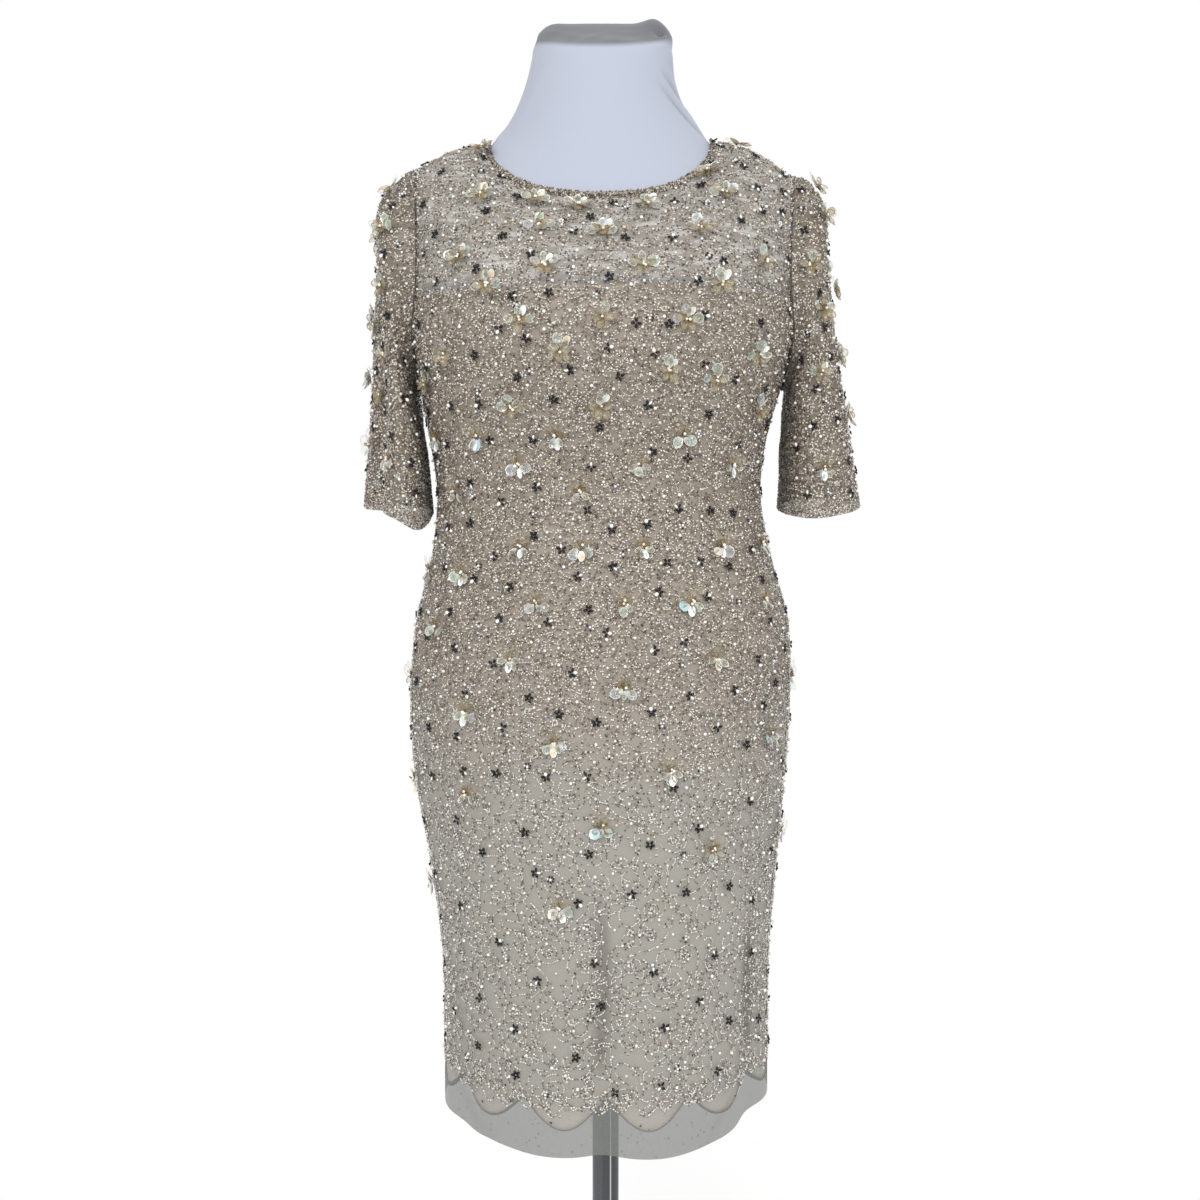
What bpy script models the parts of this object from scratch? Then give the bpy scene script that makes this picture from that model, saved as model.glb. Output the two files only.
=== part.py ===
"""Beaded cocktail dress on a limbless dress form with a pole and a round base.

Metres, +Z up. The front of the dress faces -Y and the origin is the centre of the
base's underside. Left and right are the viewer's, looking along +Y.

The body cloth is one tube of sections that ends in two armholes and a neckline. The
panels, the lining, the zip tape and the dress form are all made from the points of
that tube, each moved in by its own depth, so that no layer meets the next.
"""

import math
import random
from collections import namedtuple

import bmesh
import bpy
import numpy as np
from mathutils import Matrix, Vector

# ---------------------------------------------------------------- driving dimensions

HEM_Z = 0.440            # the hem's mean height above the floor
UNDERARM_Z = 1.185
CHEST_Z = 1.271          # level top edge of the lining
ZIP_END_Z = 0.86         # lower end of the zip tape

CLOTH = 0.0015           # beaded net
LINING = 0.0010
SEAM = 0.0003            # between neighbouring pieces
BENT_HALF_SEAM = 0.00018  # half a seam, and a little more where the cloth bends across it
LAYER_GAP = 0.0006       # between cloth, lining and tape

# The body cloth's level sections: half widths to the left and right of the pole,
# depths to the front and back of it, and the exponent of the superellipse.
Section = namedtuple("Section", "z left right front back square")
SECTIONS = (
    Section(0.440, 0.171, 0.172, 0.144, 0.130, 2.2),
    Section(0.600, 0.172, 0.172, 0.139, 0.130, 2.2),
    Section(0.695, 0.184, 0.179, 0.137, 0.134, 2.2),
    Section(0.790, 0.199, 0.187, 0.136, 0.141, 2.3),
    Section(0.862, 0.203, 0.191, 0.135, 0.146, 2.3),
    Section(0.946, 0.196, 0.1885, 0.131, 0.134, 2.3),
    Section(1.010, 0.180, 0.171, 0.122, 0.112, 2.3),
    Section(1.075, 0.1735, 0.159, 0.116, 0.098, 2.3),
    Section(1.130, 0.180, 0.164, 0.125, 0.100, 2.3),
    Section(1.185, 0.190, 0.179, 0.141, 0.108, 2.3),
    Section(1.235, 0.198, 0.191, 0.147, 0.114, 2.4),
    Section(1.271, 0.196, 0.190, 0.142, 0.117, 2.4),
)

# The hem's height above or below its mean, across each panel from its left seam.
HemPoint = namedtuple("HemPoint", "across rise")
HEM_LINE = {
    "front": (
        HemPoint(0.00, 0.001),
        HemPoint(0.13, 0.003),
        HemPoint(0.26, -0.001),
        HemPoint(0.37, -0.0070),
        HemPoint(0.50, -0.0055),
        HemPoint(0.62, -0.0085),
        HemPoint(0.73, 0.000),
        HemPoint(0.87, 0.013),
        HemPoint(1.00, 0.010),
    ),
    "back": (
        HemPoint(0.00, 0.001),
        HemPoint(0.30, -0.003),
        HemPoint(0.50, -0.004),
        HemPoint(0.75, -0.001),
        HemPoint(1.00, 0.010),
    ),
}

# Armhole: how far its edge swings to the front and back, and the height of its widest point.
ARMHOLE_FRONT = 0.052
ARMHOLE_BACK = 0.056
ARMHOLE_HALF_HEIGHT = 0.100

# Shoulder line: from the sleeve (tip) to the neck, as x, y, z.
SHOULDER = {
    "left": {"tip": (-0.193, 0.012, 1.409), "neck": (-0.121, 0.004, 1.432)},
    "right": {"tip": (0.190, 0.012, 1.402), "neck": (0.110, 0.004, 1.435)},
}
SHOULDER_CROWN = {"left": 0.005, "right": 0.007}  # rise above a straight shoulder line
NECK_DEPTH = {"front": 0.087, "back": 0.064}
NECK_MID_Z = {"front": 1.3625, "back": 1.414}
NECK_CURVE = 1.15        # how soon the neckline levels out
NECK_SQUARE = 0.62       # under 1 squares the neckline's plan
# Way the cloth runs where it ends at the middle of the neckline, and at the shoulder line.
NECK_RUN = {"front": (0.0, 0.62, 0.78), "back": (0.0, -0.35, 0.94)}
SHOULDER_RUN = {"front": (0.0, 1.0, 0.08), "back": (0.0, -1.0, 0.08)}
YOKE_LOWER_PULL = 0.38   # reach of the yoke curve's handles, as a share of its length
YOKE_UPPER_PULL = 0.34
CHEST_STEP = 0.004       # the cloth's direction at the chest is taken over this height

# Grid of the body cloth. Each of front and back has the same columns and rows.
COLUMNS = 24
SHOULDER_COLUMNS = 4
SKIRT_ROWS = 28
CHEST_ROWS = 4
YOKE_ROWS = 8
UNDERARM_ROW = SKIRT_ROWS
CHEST_ROW = SKIRT_ROWS + CHEST_ROWS
TOP_ROW = CHEST_ROW + YOKE_ROWS
ROW_STEP = 2             # inner faces keep every second row
ARC_SAMPLES = 241        # along half a section, before it is spaced evenly

# Soft troughs of the skirt: across = share of the panel from its left seam.
Fold = namedtuple("Fold", "panel across width depth top")
FOLDS = (
    Fold("front", 0.17, 0.045, 0.004, 0.62),
    Fold("front", 0.49, 0.040, 0.007, 0.74),
    Fold("front", 0.83, 0.045, 0.008, 0.70),
    Fold("back", 0.22, 0.050, 0.006, 0.68),
    Fold("back", 0.58, 0.045, 0.007, 0.72),
    Fold("back", 0.80, 0.040, 0.005, 0.64),
)

# Lining
LINING_FIRST_ROW = 2
SCALLOPS = 6             # across each of front and back
SCALLOP_DROP = 0.57      # of the way from the lining's first row to the hem
SCALLOP_LEAST = 0.08     # and between two scallops
TAPE_HALF = 0.008        # zip tape, either side of the centre back
TAPE_CLEARANCE = 0.0005
TAPE_LAP = 0.03          # below the tape's end the lining's halves meet

# Sleeves: rungs from the outer to the inner edge, with the depth to the front and back.
# The front of a section leans towards the body by this share of its depth.
Rung = namedtuple("Rung", "outer_x outer_z inner_x inner_z front back lean")
RUNGS = {
    "left": (
        Rung(-0.1950, 1.409, -0.1940, 1.185, 0.053, 0.057, 0.00),
        Rung(-0.2130, 1.393, -0.1945, 1.176, 0.055, 0.058, 0.00),
        Rung(-0.2310, 1.370, -0.1925, 1.166, 0.057, 0.060, 0.00),
        Rung(-0.2335, 1.334, -0.1905, 1.156, 0.059, 0.062, 0.02),
        Rung(-0.2355, 1.290, -0.1890, 1.146, 0.061, 0.064, 0.05),
        Rung(-0.2390, 1.235, -0.1870, 1.134, 0.062, 0.065, 0.10),
        Rung(-0.2420, 1.180, -0.1840, 1.117, 0.062, 0.066, 0.12),
        Rung(-0.2465, 1.120, -0.1815, 1.090, 0.062, 0.066, 0.12),
        Rung(-0.2520, 1.062, -0.1790, 1.058, 0.062, 0.066, 0.10),
    ),
    "right": (
        Rung(0.1920, 1.402, 0.1860, 1.185, 0.053, 0.057, 0.00),
        Rung(0.2100, 1.3905, 0.1870, 1.176, 0.055, 0.058, 0.00),
        Rung(0.2230, 1.366, 0.1855, 1.166, 0.057, 0.060, 0.00),
        Rung(0.2255, 1.330, 0.1835, 1.156, 0.059, 0.062, 0.00),
        Rung(0.2295, 1.286, 0.1830, 1.146, 0.060, 0.064, 0.00),
        Rung(0.2350, 1.232, 0.1825, 1.134, 0.061, 0.065, 0.00),
        Rung(0.2440, 1.178, 0.1805, 1.117, 0.061, 0.066, 0.00),
        Rung(0.2535, 1.120, 0.1805, 1.092, 0.060, 0.066, 0.00),
        Rung(0.2625, 1.066, 0.1785, 1.060, 0.058, 0.064, 0.00),
    ),
}
SLEEVE_ROWS = 14
SLEEVE_START = 0.0006    # from the armhole edge to the sleeve's edge, along the sleeve
SLEEVE_LIFT = 0.0008     # sleeve's edge stands off the panel's face by this much
SLEEVE_OUT = 0.0008      # and lies this much further out than the armhole
CUFF_SLOPE = {"left": 0.08, "right": 0.14}  # the cuff hangs lower at the front
# The cuff also dips round this angle, in degrees from its outer edge towards the front.
CuffDip = namedtuple("CuffDip", "angle width depth")
CUFF_DIPS = {"left": CuffDip(128, 34, 0.015), "right": CuffDip(95, 50, 0.003)}
# The sleeves' soft folds: angle from the outer edge towards the front, in degrees.
SleeveFold = namedtuple("SleeveFold", "angle width depth start")
SLEEVE_FOLDS = {
    "left": (SleeveFold(42, 24, 0.46, 0.30), SleeveFold(-60, 26, 0.10, 0.45)),
    "right": (SleeveFold(75, 24, 0.12, 0.45), SleeveFold(-50, 26, 0.14, 0.40)),
}

# Raised sequin flowers
FLOWER_RISE = 0.006
FLOWER_SEED = 7
UNDER_SLEEVE_ROWS = 7    # below the underarm, where a sleeve hangs against the side
UNDER_SLEEVE_COLUMNS = 3
SLEEVE_BARE = 75         # degrees to each side of the sleeve's inner edge
# The least distance between flowers at each height; there are none below the last row.
Spacing = namedtuple("Spacing", "z apart")
FLOWER_SPACING = (
    Spacing(1.44, 0.040),
    Spacing(1.20, 0.043),
    Spacing(1.05, 0.050),
    Spacing(0.90, 0.060),
    Spacing(0.78, 0.078),
    Spacing(0.66, 0.110),
)

# Neckline binding
BINDING_TALL = 0.0035
BINDING_PROUD = 0.0005   # beyond the cloth's outer face
BINDING_INSIDE = 0.0007  # and this much inside it
BINDING_START = 0.0011   # from the cloth's edge

# Zip slider and pull tab, in the slider's own frame: x across, y out of the cloth, z up.
SLIDER_ROW = TOP_ROW - 1
SLIDER_SEAT = 0.0004     # slider's underside off the cloth
SLIDER_BODY = (0.0056, 0.0024, 0.0090)
CHEEK = (0.0010, 0.0046, 0.0036)
CHEEK_APART = 0.0046     # centre to centre
CHEEK_SINK = 0.0004      # into the slider's body
PIN_RADIUS = 0.0008
PIN_OUT = 0.0059         # pin axis above the cloth
EYE_HOLE = 0.0014
EYE_RADIUS = 0.0027
PULL_THICK = 0.0010
PULL_CLEAR = 0.0012      # hanging tab off the cloth
PULL_LONG = 0.020
PULL_WIDE = 0.0052
PULL_BEND = 0.009        # below the eye the tab has come in to the cloth
PULL_END_STEPS = 12
ROD_SIDES = 16
EYE_SIDES = 20

# Dress form
FORM_BASE_ROW = 12
# How far the form lies inside the cloth's outer face.
Depth = namedtuple("Depth", "z inside")
FORM_DEPTHS = (
    Depth(0.76, 0.0065),
    Depth(0.90, 0.0060),
    Depth(1.07, 0.0070),
    Depth(1.20, 0.0050),
    Depth(1.271, 0.0042),
    Depth(1.33, 0.0028),
    Depth(1.40, 0.0026),
    Depth(1.45, 0.0030),
)
ZIP_ROOM = 0.0018        # the form lies this much deeper behind the zip
NECK_ROOM = 0.0012       # and this much nearer the neck's axis under the neckline
SHOULDER_BALL = 0.024    # how far the form's closed armholes swell outward
BALL_RINGS = (0.72, 0.38)  # sizes of the rings between the armhole and the swelling's tip
# The neck above the neckline: heights at its front, sides and back, and its radii.
NeckRing = namedtuple("NeckRing", "front_z side_z back_z left right front back square")
NECK_AXIS = (-0.006, 0.004)
NECK_RINGS = (
    NeckRing(1.378, 1.4415, 1.426, 0.1070, 0.1085, 0.078, 0.057, 0.75),
    NeckRing(1.400, 1.4500, 1.440, 0.0970, 0.1020, 0.070, 0.052, 0.88),
    NeckRing(1.430, 1.4660, 1.464, 0.0865, 0.0895, 0.063, 0.048, 1.0),
    NeckRing(1.465, 1.4900, 1.500, 0.0765, 0.0765, 0.059, 0.046, 1.0),
    NeckRing(1.497, 1.5200, 1.535, 0.0695, 0.0745, 0.057, 0.046, 1.0),
    NeckRing(1.512, 1.5400, 1.562, 0.0655, 0.0740, 0.056, 0.047, 1.0),
    NeckRing(1.517, 1.5460, 1.5685, 0.0600, 0.0710, 0.051, 0.044, 1.0),
)

# Stand
POLE_RADIUS = 0.014
POLE_FLANGE_RADIUS = 0.050
POLE_FLANGE_TALL = 0.008
BASE_RADIUS = 0.200
BASE_TALL = 0.014
BASE_EDGE = 0.005
BASE_FLOOR = 0.006       # metal left under the pole
HUB_RADIUS = 0.026
HUB_TOP = 0.052
HUB_EDGE = 0.002
HUB_FILLET = 0.004
ROUND_STEPS = 32

COLOURS = {
    "beaded_net": ((0.36, 0.32, 0.27, 1.0), 0.55, 0.0),
    "nude_lining": ((0.62, 0.52, 0.42, 1.0), 0.60, 0.0),
    "binding": ((0.24, 0.21, 0.17, 1.0), 0.60, 0.0),
    "zip_tape": ((0.52, 0.45, 0.37, 1.0), 0.75, 0.0),
    "nickel": ((0.72, 0.70, 0.66, 1.0), 0.25, 1.0),
    "jersey": ((0.62, 0.65, 0.73, 1.0), 0.80, 0.0),
    "steel": ((0.45, 0.46, 0.47, 1.0), 0.35, 1.0),
}

# ---------------------------------------------------------------------------- helpers


def along(rows, where, key):
    """The table's row at this value of its key column, on a smooth curve through the rows."""
    keys = [getattr(row, key) for row in rows]
    where = min(max(where, keys[0]), keys[-1])
    last = len(rows) - 2
    k = min(max(int(np.searchsorted(keys, where, side="right")) - 1, 0), last)
    span = keys[k + 1] - keys[k]
    s = (where - keys[k]) / span
    here, there = np.array(rows[k]), np.array(rows[k + 1])
    before, after = np.array(rows[max(k - 1, 0)]), np.array(rows[min(k + 2, last + 1)])
    slope_here = (there - before) / (keys[k + 1] - keys[max(k - 1, 0)])
    slope_there = (after - here) / (keys[min(k + 2, last + 1)] - keys[k])
    value = (
        (2 * s**3 - 3 * s**2 + 1) * here
        + (s**3 - 2 * s**2 + s) * span * slope_here
        + (3 * s**2 - 2 * s**3) * there
        + (s**3 - s**2) * span * slope_there
    )
    return type(rows[0])(*value)


def straight(rows, where, key, value):
    """A column of a table, in straight steps. The key column may run up or down."""
    pairs = sorted((getattr(row, key), getattr(row, value)) for row in rows)
    return float(np.interp(where, *zip(*pairs)))


def unit(vectors):
    return vectors / np.linalg.norm(vectors, axis=-1, keepdims=True)


def smooth_step(value):
    value = np.clip(value, 0.0, 1.0)
    return value * value * (3 - 2 * value)


# ----------------------------------------------------------------- the body's surface


def armhole_swing(panel, z):
    """How far the armhole edge has left the side seam at this height, 0 below the underarm."""
    if z <= UNDERARM_Z:
        return 0.0
    widest = ARMHOLE_FRONT if panel == "front" else ARMHOLE_BACK
    share = (UNDERARM_Z + ARMHOLE_HALF_HEIGHT - z) / ARMHOLE_HALF_HEIGHT
    return widest * math.sqrt(max(1 - share * share, 0.0))


def level_row(panel, z, shares):
    """Points at one height, evenly spaced from the left edge of the panel to its right one."""
    row = along(SECTIONS, z, "z")
    depth = row.front if panel == "front" else row.back
    edge = math.asin(min((armhole_swing(panel, z) / depth) ** (row.square / 2), 1.0))
    angle = np.linspace(math.pi - edge, edge, ARC_SAMPLES)
    cosine, sine = np.cos(angle), np.sin(angle)
    power = 2 / row.square
    half = np.where(cosine > 0, row.right, row.left)
    side = -1.0 if panel == "front" else 1.0
    points = np.stack(
        [
            half * np.sign(cosine) * np.abs(cosine) ** power,
            side * depth * np.abs(sine) ** power,
            np.full_like(angle, z),
        ],
        axis=1,
    )
    length = np.concatenate([[0], np.cumsum(np.linalg.norm(np.diff(points, axis=0), axis=1))])
    wanted = np.asarray(shares) * length[-1]
    points = np.stack([np.interp(wanted, length, points[:, k]) for k in range(3)], axis=1)
    return points + skirt_folds(panel, z, np.asarray(shares), points, row, depth)


def skirt_folds(panel, z, shares, points, row, depth):
    """Moves for the soft troughs, towards the inside of the section."""
    push = np.zeros(len(shares))
    for fold in FOLDS:
        if fold.panel == panel:
            fade = smooth_step((fold.top - z) / (fold.top - HEM_Z))
            push += fold.depth * fade * np.exp(-(((shares - fold.across) / fold.width) ** 2))
    half = np.where(points[:, 0] > 0, row.right, row.left)
    inward = -np.stack([points[:, 0] / half**2, points[:, 1] / depth**2, 0 * half], axis=1)
    return push[:, None] * unit(inward)


def neckline_angle(shares):
    """0 at the left neck point, pi at the right one."""
    first = SHOULDER_COLUMNS / COLUMNS
    return math.pi * np.clip((shares - first) / (1 - 2 * first), 0.0, 1.0)


def top_edge(panel, shares):
    """Shoulder line, neckline, shoulder line, and the way that the cloth runs there."""
    first = SHOULDER_COLUMNS / COLUMNS
    angle = neckline_angle(shares)
    sine = np.abs(np.sin(angle))
    neck_left, neck_right = (np.array(SHOULDER[name]["neck"]) for name in ("left", "right"))
    mix = (1 - np.cos(angle)) / 2
    neck = neck_left + (neck_right - neck_left) * mix[:, None]
    side = -1.0 if panel == "front" else 1.0
    forward = sine**NECK_SQUARE
    neck[:, 1] += side * NECK_DEPTH[panel] * forward
    dip = 1 - (1 - sine) ** NECK_CURVE
    neck[:, 2] += (NECK_MID_Z[panel] - neck[:, 2]) * dip
    points = neck
    for mask, name, share in (
        (shares < first, "left", shares / first),
        (shares > 1 - first, "right", (1 - shares) / first),
    ):
        tip, inner = np.array(SHOULDER[name]["tip"]), np.array(SHOULDER[name]["neck"])
        line = tip + (inner - tip) * share[:, None]
        line[:, 2] += SHOULDER_CROWN[name] * np.sin(math.pi * np.clip(share, 0, 1))
        points = np.where(mask[:, None], line, points)
    middle, ends = np.array(NECK_RUN[panel]), np.array(SHOULDER_RUN[panel])
    run = unit(ends + (middle - ends) * forward[:, None])
    return points, run


def yoke_rows(panel, steps, shares):
    """Rows above the chest line: each column is a curve up to the neckline or shoulder."""
    chest = level_row(panel, CHEST_Z, shares)
    below = level_row(panel, CHEST_Z - CHEST_STEP, shares)
    rise = unit(chest - below)
    top, run = top_edge(panel, shares)
    reach = np.linalg.norm(top - chest, axis=1, keepdims=True)
    lower = chest + rise * reach * YOKE_LOWER_PULL
    upper = top - run * reach * YOKE_UPPER_PULL
    rows = []
    for s in steps:
        rows.append(
            (1 - s) ** 3 * chest
            + 3 * s * (1 - s) ** 2 * lower
            + 3 * s * s * (1 - s) * upper
            + s**3 * top
        )
    return rows


def row_heights():
    skirt = [HEM_Z + (UNDERARM_Z - HEM_Z) * k / SKIRT_ROWS for k in range(SKIRT_ROWS + 1)]
    widest = math.acos(1 - (CHEST_Z - UNDERARM_Z) / ARMHOLE_HALF_HEIGHT)
    chest = [
        UNDERARM_Z + ARMHOLE_HALF_HEIGHT * (1 - math.cos(widest * k / CHEST_ROWS))
        for k in range(1, CHEST_ROWS + 1)
    ]
    return skirt + chest


def panel_grid(panel):
    """Outer points of front or back, indexed by column (left to right) and row (hem to top)."""
    shares = np.linspace(0, 1, COLUMNS + 1)
    rows = [level_row(panel, z, shares) for z in row_heights()]
    rows[0][:, 2] += [along(HEM_LINE[panel], share, "across").rise for share in shares]
    rows += yoke_rows(panel, [k / YOKE_ROWS for k in range(1, YOKE_ROWS + 1)], shares)
    return np.stack(rows, axis=1)


def body_normals(front, back):
    """Outward normals of both grids, the same for both along the seams that they share."""

    def across(grid, other):
        padded = np.concatenate([grid[:1], grid, grid[-1:]])
        padded[0, : UNDERARM_ROW + 1] = other[1, : UNDERARM_ROW + 1]
        padded[-1, : UNDERARM_ROW + 1] = other[-2, : UNDERARM_ROW + 1]
        return padded[2:] - padded[:-2]

    def upward(grid):
        return np.gradient(grid, axis=1)

    found = {}
    for name, grid, other, sign in (("front", front, back, 1), ("back", back, front, -1)):
        found[name] = unit(sign * np.cross(across(grid, other), upward(grid)))
    for columns in (slice(0, SHOULDER_COLUMNS + 1), slice(COLUMNS - SHOULDER_COLUMNS, None)):
        shared = unit(found["front"][columns, TOP_ROW] + found["back"][columns, TOP_ROW])
        found["front"][columns, TOP_ROW] = shared
        found["back"][columns, TOP_ROW] = shared
    return found["front"], found["back"]


FRONT = panel_grid("front")
BACK = panel_grid("back")
FRONT_NORMALS, BACK_NORMALS = body_normals(FRONT, BACK)


def parted(grid, first=None, last=None):
    """The grid with its edge columns moved in by these distances, to leave a seam's gap."""
    grid = grid.copy()
    for gap, edge, inside in ((first, 0, 1), (last, -1, -2)):
        if gap is not None:
            step = grid[inside] - grid[edge]
            share = np.asarray(gap) / np.linalg.norm(step, axis=1)
            grid[edge] = grid[edge] + step * share[:, None]
    return grid


def shoulder_parted(grid):
    """The grid with its top row moved down by half a seam along the shoulder lines."""
    grid = grid.copy()
    for columns in (slice(0, SHOULDER_COLUMNS + 1), slice(COLUMNS - SHOULDER_COLUMNS, None)):
        step = grid[columns, TOP_ROW - 1] - grid[columns, TOP_ROW]
        grid[columns, TOP_ROW] += unit(step) * BENT_HALF_SEAM
    return grid


# ------------------------------------------------------------------- making mesh walls


def halves(a, b, c, d):
    return [(a, b, c), (a, c, d)]


def wall_faces(columns, rows, step, closed):
    """Faces of a wall whose inner side keeps every step-th row. Inner points come last."""
    kept = (rows - 1) // step + 1

    def outer(i, j):
        return (i % columns) * rows + j

    def inner(i, j):
        return columns * rows + (i % columns) * kept + j // step

    faces = []
    spans = columns if closed else columns - 1
    for i in range(spans):
        for j in range(rows - 1):
            faces += halves(outer(i, j), outer(i + 1, j), outer(i + 1, j + 1), outer(i, j + 1))
        for j in range(0, rows - 1, step):
            faces += halves(
                inner(i, j), inner(i, j + step), inner(i + 1, j + step), inner(i + 1, j)
            )
        top = rows - 1
        faces += halves(outer(i, 0), inner(i, 0), inner(i + 1, 0), outer(i + 1, 0))
        faces += halves(outer(i, top), outer(i + 1, top), inner(i + 1, top), inner(i, top))
    if closed:
        return faces
    for i, turn in ((0, 1), (columns - 1, -1)):
        for j in range(0, rows - 1, step):
            rim = [(outer(i, j), outer(i, j + 1), inner(i, j))]
            for k in range(1, step):
                rim.append((outer(i, j + k), outer(i, j + k + 1), inner(i, j + step)))
            rim.append((inner(i, j), outer(i, j + 1), inner(i, j + step)))
            if step == 1:
                rim = halves(outer(i, j), outer(i, j + 1), inner(i, j + 1), inner(i, j))
            faces += [face[::turn] for face in rim]
    return faces


def add_mesh(name, points, faces, material, smooth=True):
    mesh = bpy.data.meshes.new(name)
    mesh.from_pydata([tuple(map(float, point)) for point in points], [], faces)
    work = bmesh.new()
    work.from_mesh(mesh)
    bmesh.ops.recalc_face_normals(work, faces=work.faces)
    if work.calc_volume(signed=True) < 0:
        bmesh.ops.reverse_faces(work, faces=work.faces)
    work.to_mesh(mesh)
    work.free()
    if smooth:
        mesh.shade_smooth()
        mesh.set_sharp_from_angle(angle=math.radians(50))
    return add_object(name, mesh, material)


def add_object(name, mesh, material):
    made = bpy.data.objects.new(name, mesh)
    PARTS.objects.link(made)
    made.data.materials.clear()
    made.data.materials.append(MATERIALS[material])
    return made


def add_wall(name, outer, inner, material, step=ROW_STEP, closed=False):
    columns, rows = outer.shape[:2]
    points = np.concatenate([outer.reshape(-1, 3), inner[:, ::step].reshape(-1, 3)])
    return add_mesh(name, points, wall_faces(columns, rows, step, closed), material)


# --------------------------------------------------------------------------- flowers


def scattered(points, allowed, draw):
    """Picks points at random, no two nearer than the spacing for their height."""
    order = [key for key in np.ndindex(points.shape[:2]) if allowed(*key)]
    draw.shuffle(order)
    lowest = min(row.z for row in FLOWER_SPACING)
    chosen = []
    for key in order:
        place = points[key]
        if place[2] < lowest:
            continue
        apart = straight(FLOWER_SPACING, place[2], "z", "apart")
        if all(np.linalg.norm(place - points[other]) > apart for other in chosen):
            chosen.append(key)
    return sorted(chosen)


def with_flowers(grid, normals, allowed, seed):
    """The outer grid with the point under each sequin flower raised."""
    raised = grid.copy()
    for key in scattered(grid, allowed, random.Random(seed)):
        raised[key] += normals[key] * FLOWER_RISE
    return raised


# ---------------------------------------------------------------------------- pieces


def panel_flower(i, j):
    """Keeps flowers off the panel's edges, and off the side that the sleeve hangs against."""
    inside = 1 < i < COLUMNS - 1 and 1 < j < TOP_ROW
    near_side = i < UNDER_SLEEVE_COLUMNS or i > COLUMNS - UNDER_SLEEVE_COLUMNS
    under_sleeve = near_side and j > UNDERARM_ROW - UNDER_SLEEVE_ROWS
    return inside and not under_sleeve


def back_flower(i, j):
    return panel_flower(i, j) and abs(i - COLUMNS // 2) > 1


def layer(grid, normals, depth):
    return grid - normals * depth


def make_front():
    raised = with_flowers(FRONT, FRONT_NORMALS, panel_flower, FLOWER_SEED)
    gap = np.full(TOP_ROW + 1, SEAM / 2)
    gap[UNDERARM_ROW + 1 :] = 0.0
    outer = shoulder_parted(parted(raised, gap, gap))
    inner = shoulder_parted(parted(layer(FRONT, FRONT_NORMALS, CLOTH), gap, gap))
    add_wall("front_panel", outer, inner, "beaded_net")


def back_half(grid, side):
    """The columns from the centre back to one side seam, left to right."""
    middle = COLUMNS // 2
    return grid[: middle + 1] if side == "left" else grid[middle:]


def make_back(side):
    raised = with_flowers(BACK, BACK_NORMALS, back_flower, FLOWER_SEED + 1)
    at_side = np.full(TOP_ROW + 1, SEAM / 2)
    at_side[UNDERARM_ROW + 1 :] = 0.0
    at_middle = np.full(TOP_ROW + 1, BENT_HALF_SEAM)
    gaps = (at_side, at_middle) if side == "left" else (at_middle, at_side)
    walls = []
    for grid in (raised, layer(BACK, BACK_NORMALS, CLOTH)):
        walls.append(parted(back_half(shoulder_parted(grid), side), *gaps))
    add_wall("back_panel_" + side, walls[0], walls[1], "beaded_net")


def scalloped(grid, full):
    """The lining with a row of scallops below it, let down towards the hem."""
    shares = np.linspace(0, 1, full.shape[0])
    wave = np.abs(np.sin(math.pi * SCALLOPS * shares))
    drop = SCALLOP_LEAST + (SCALLOP_DROP - SCALLOP_LEAST) * wave
    hem, first = full[:, 0], full[:, LINING_FIRST_ROW]
    low = first + (hem - first) * drop[:, None]
    return np.concatenate([low[:, None], grid], axis=1)


def lining_layers(grid, normals):
    found = []
    start = CLOTH + LAYER_GAP
    for depth in (start, start + LINING):
        full = layer(grid, normals, depth)
        rows = full[:, LINING_FIRST_ROW : CHEST_ROW + 1 : ROW_STEP]
        found.append(scalloped(rows, full))
    return found


def lining_row_heights():
    """The heights of the lining's rows, with the scallops' row first."""
    heights = row_heights()[LINING_FIRST_ROW : CHEST_ROW + 1 : ROW_STEP]
    return np.array([HEM_Z] + heights)


def make_lining_front():
    heights = lining_row_heights()
    gap = np.where(heights <= UNDERARM_Z, SEAM / 2, 0.0)
    outer, inner = (parted(rows, gap, gap) for rows in lining_layers(FRONT, FRONT_NORMALS))
    add_wall("lining_front", outer, inner, "nude_lining", step=1)


def make_lining_back(side):
    """Beside the zip the lining stops at the tape, and below it the halves meet."""
    heights = lining_row_heights()
    at_side = np.where(heights <= UNDERARM_Z, SEAM / 2, 0.0)
    at_middle = np.where(heights < ZIP_END_Z - TAPE_LAP, SEAM / 2, TAPE_HALF + TAPE_CLEARANCE)
    gaps = (at_side, at_middle) if side == "left" else (at_middle, at_side)
    outer, inner = (
        parted(back_half(rows, side), *gaps) for rows in lining_layers(BACK, BACK_NORMALS)
    )
    add_wall("lining_back_" + side, outer, inner, "nude_lining", step=1)


def make_zip_tape():
    """A strip behind the centre back seam, from the neckline to the hips."""
    middle = COLUMNS // 2
    first = int(np.searchsorted(row_heights(), ZIP_END_Z))
    first += first % ROW_STEP
    found = []
    for depth in (CLOTH + LAYER_GAP, CLOTH + LAYER_GAP + LINING):
        rows = layer(BACK, BACK_NORMALS, depth)[middle - 1 : middle + 2, first::ROW_STEP]
        centre = rows[1]
        strip = [centre + unit(rows[k] - centre) * TAPE_HALF for k in (0, 2)]
        found.append(np.stack([strip[0], centre, strip[1]]))
    add_wall("zip_tape", found[0], found[1], "zip_tape", step=1)


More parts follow.
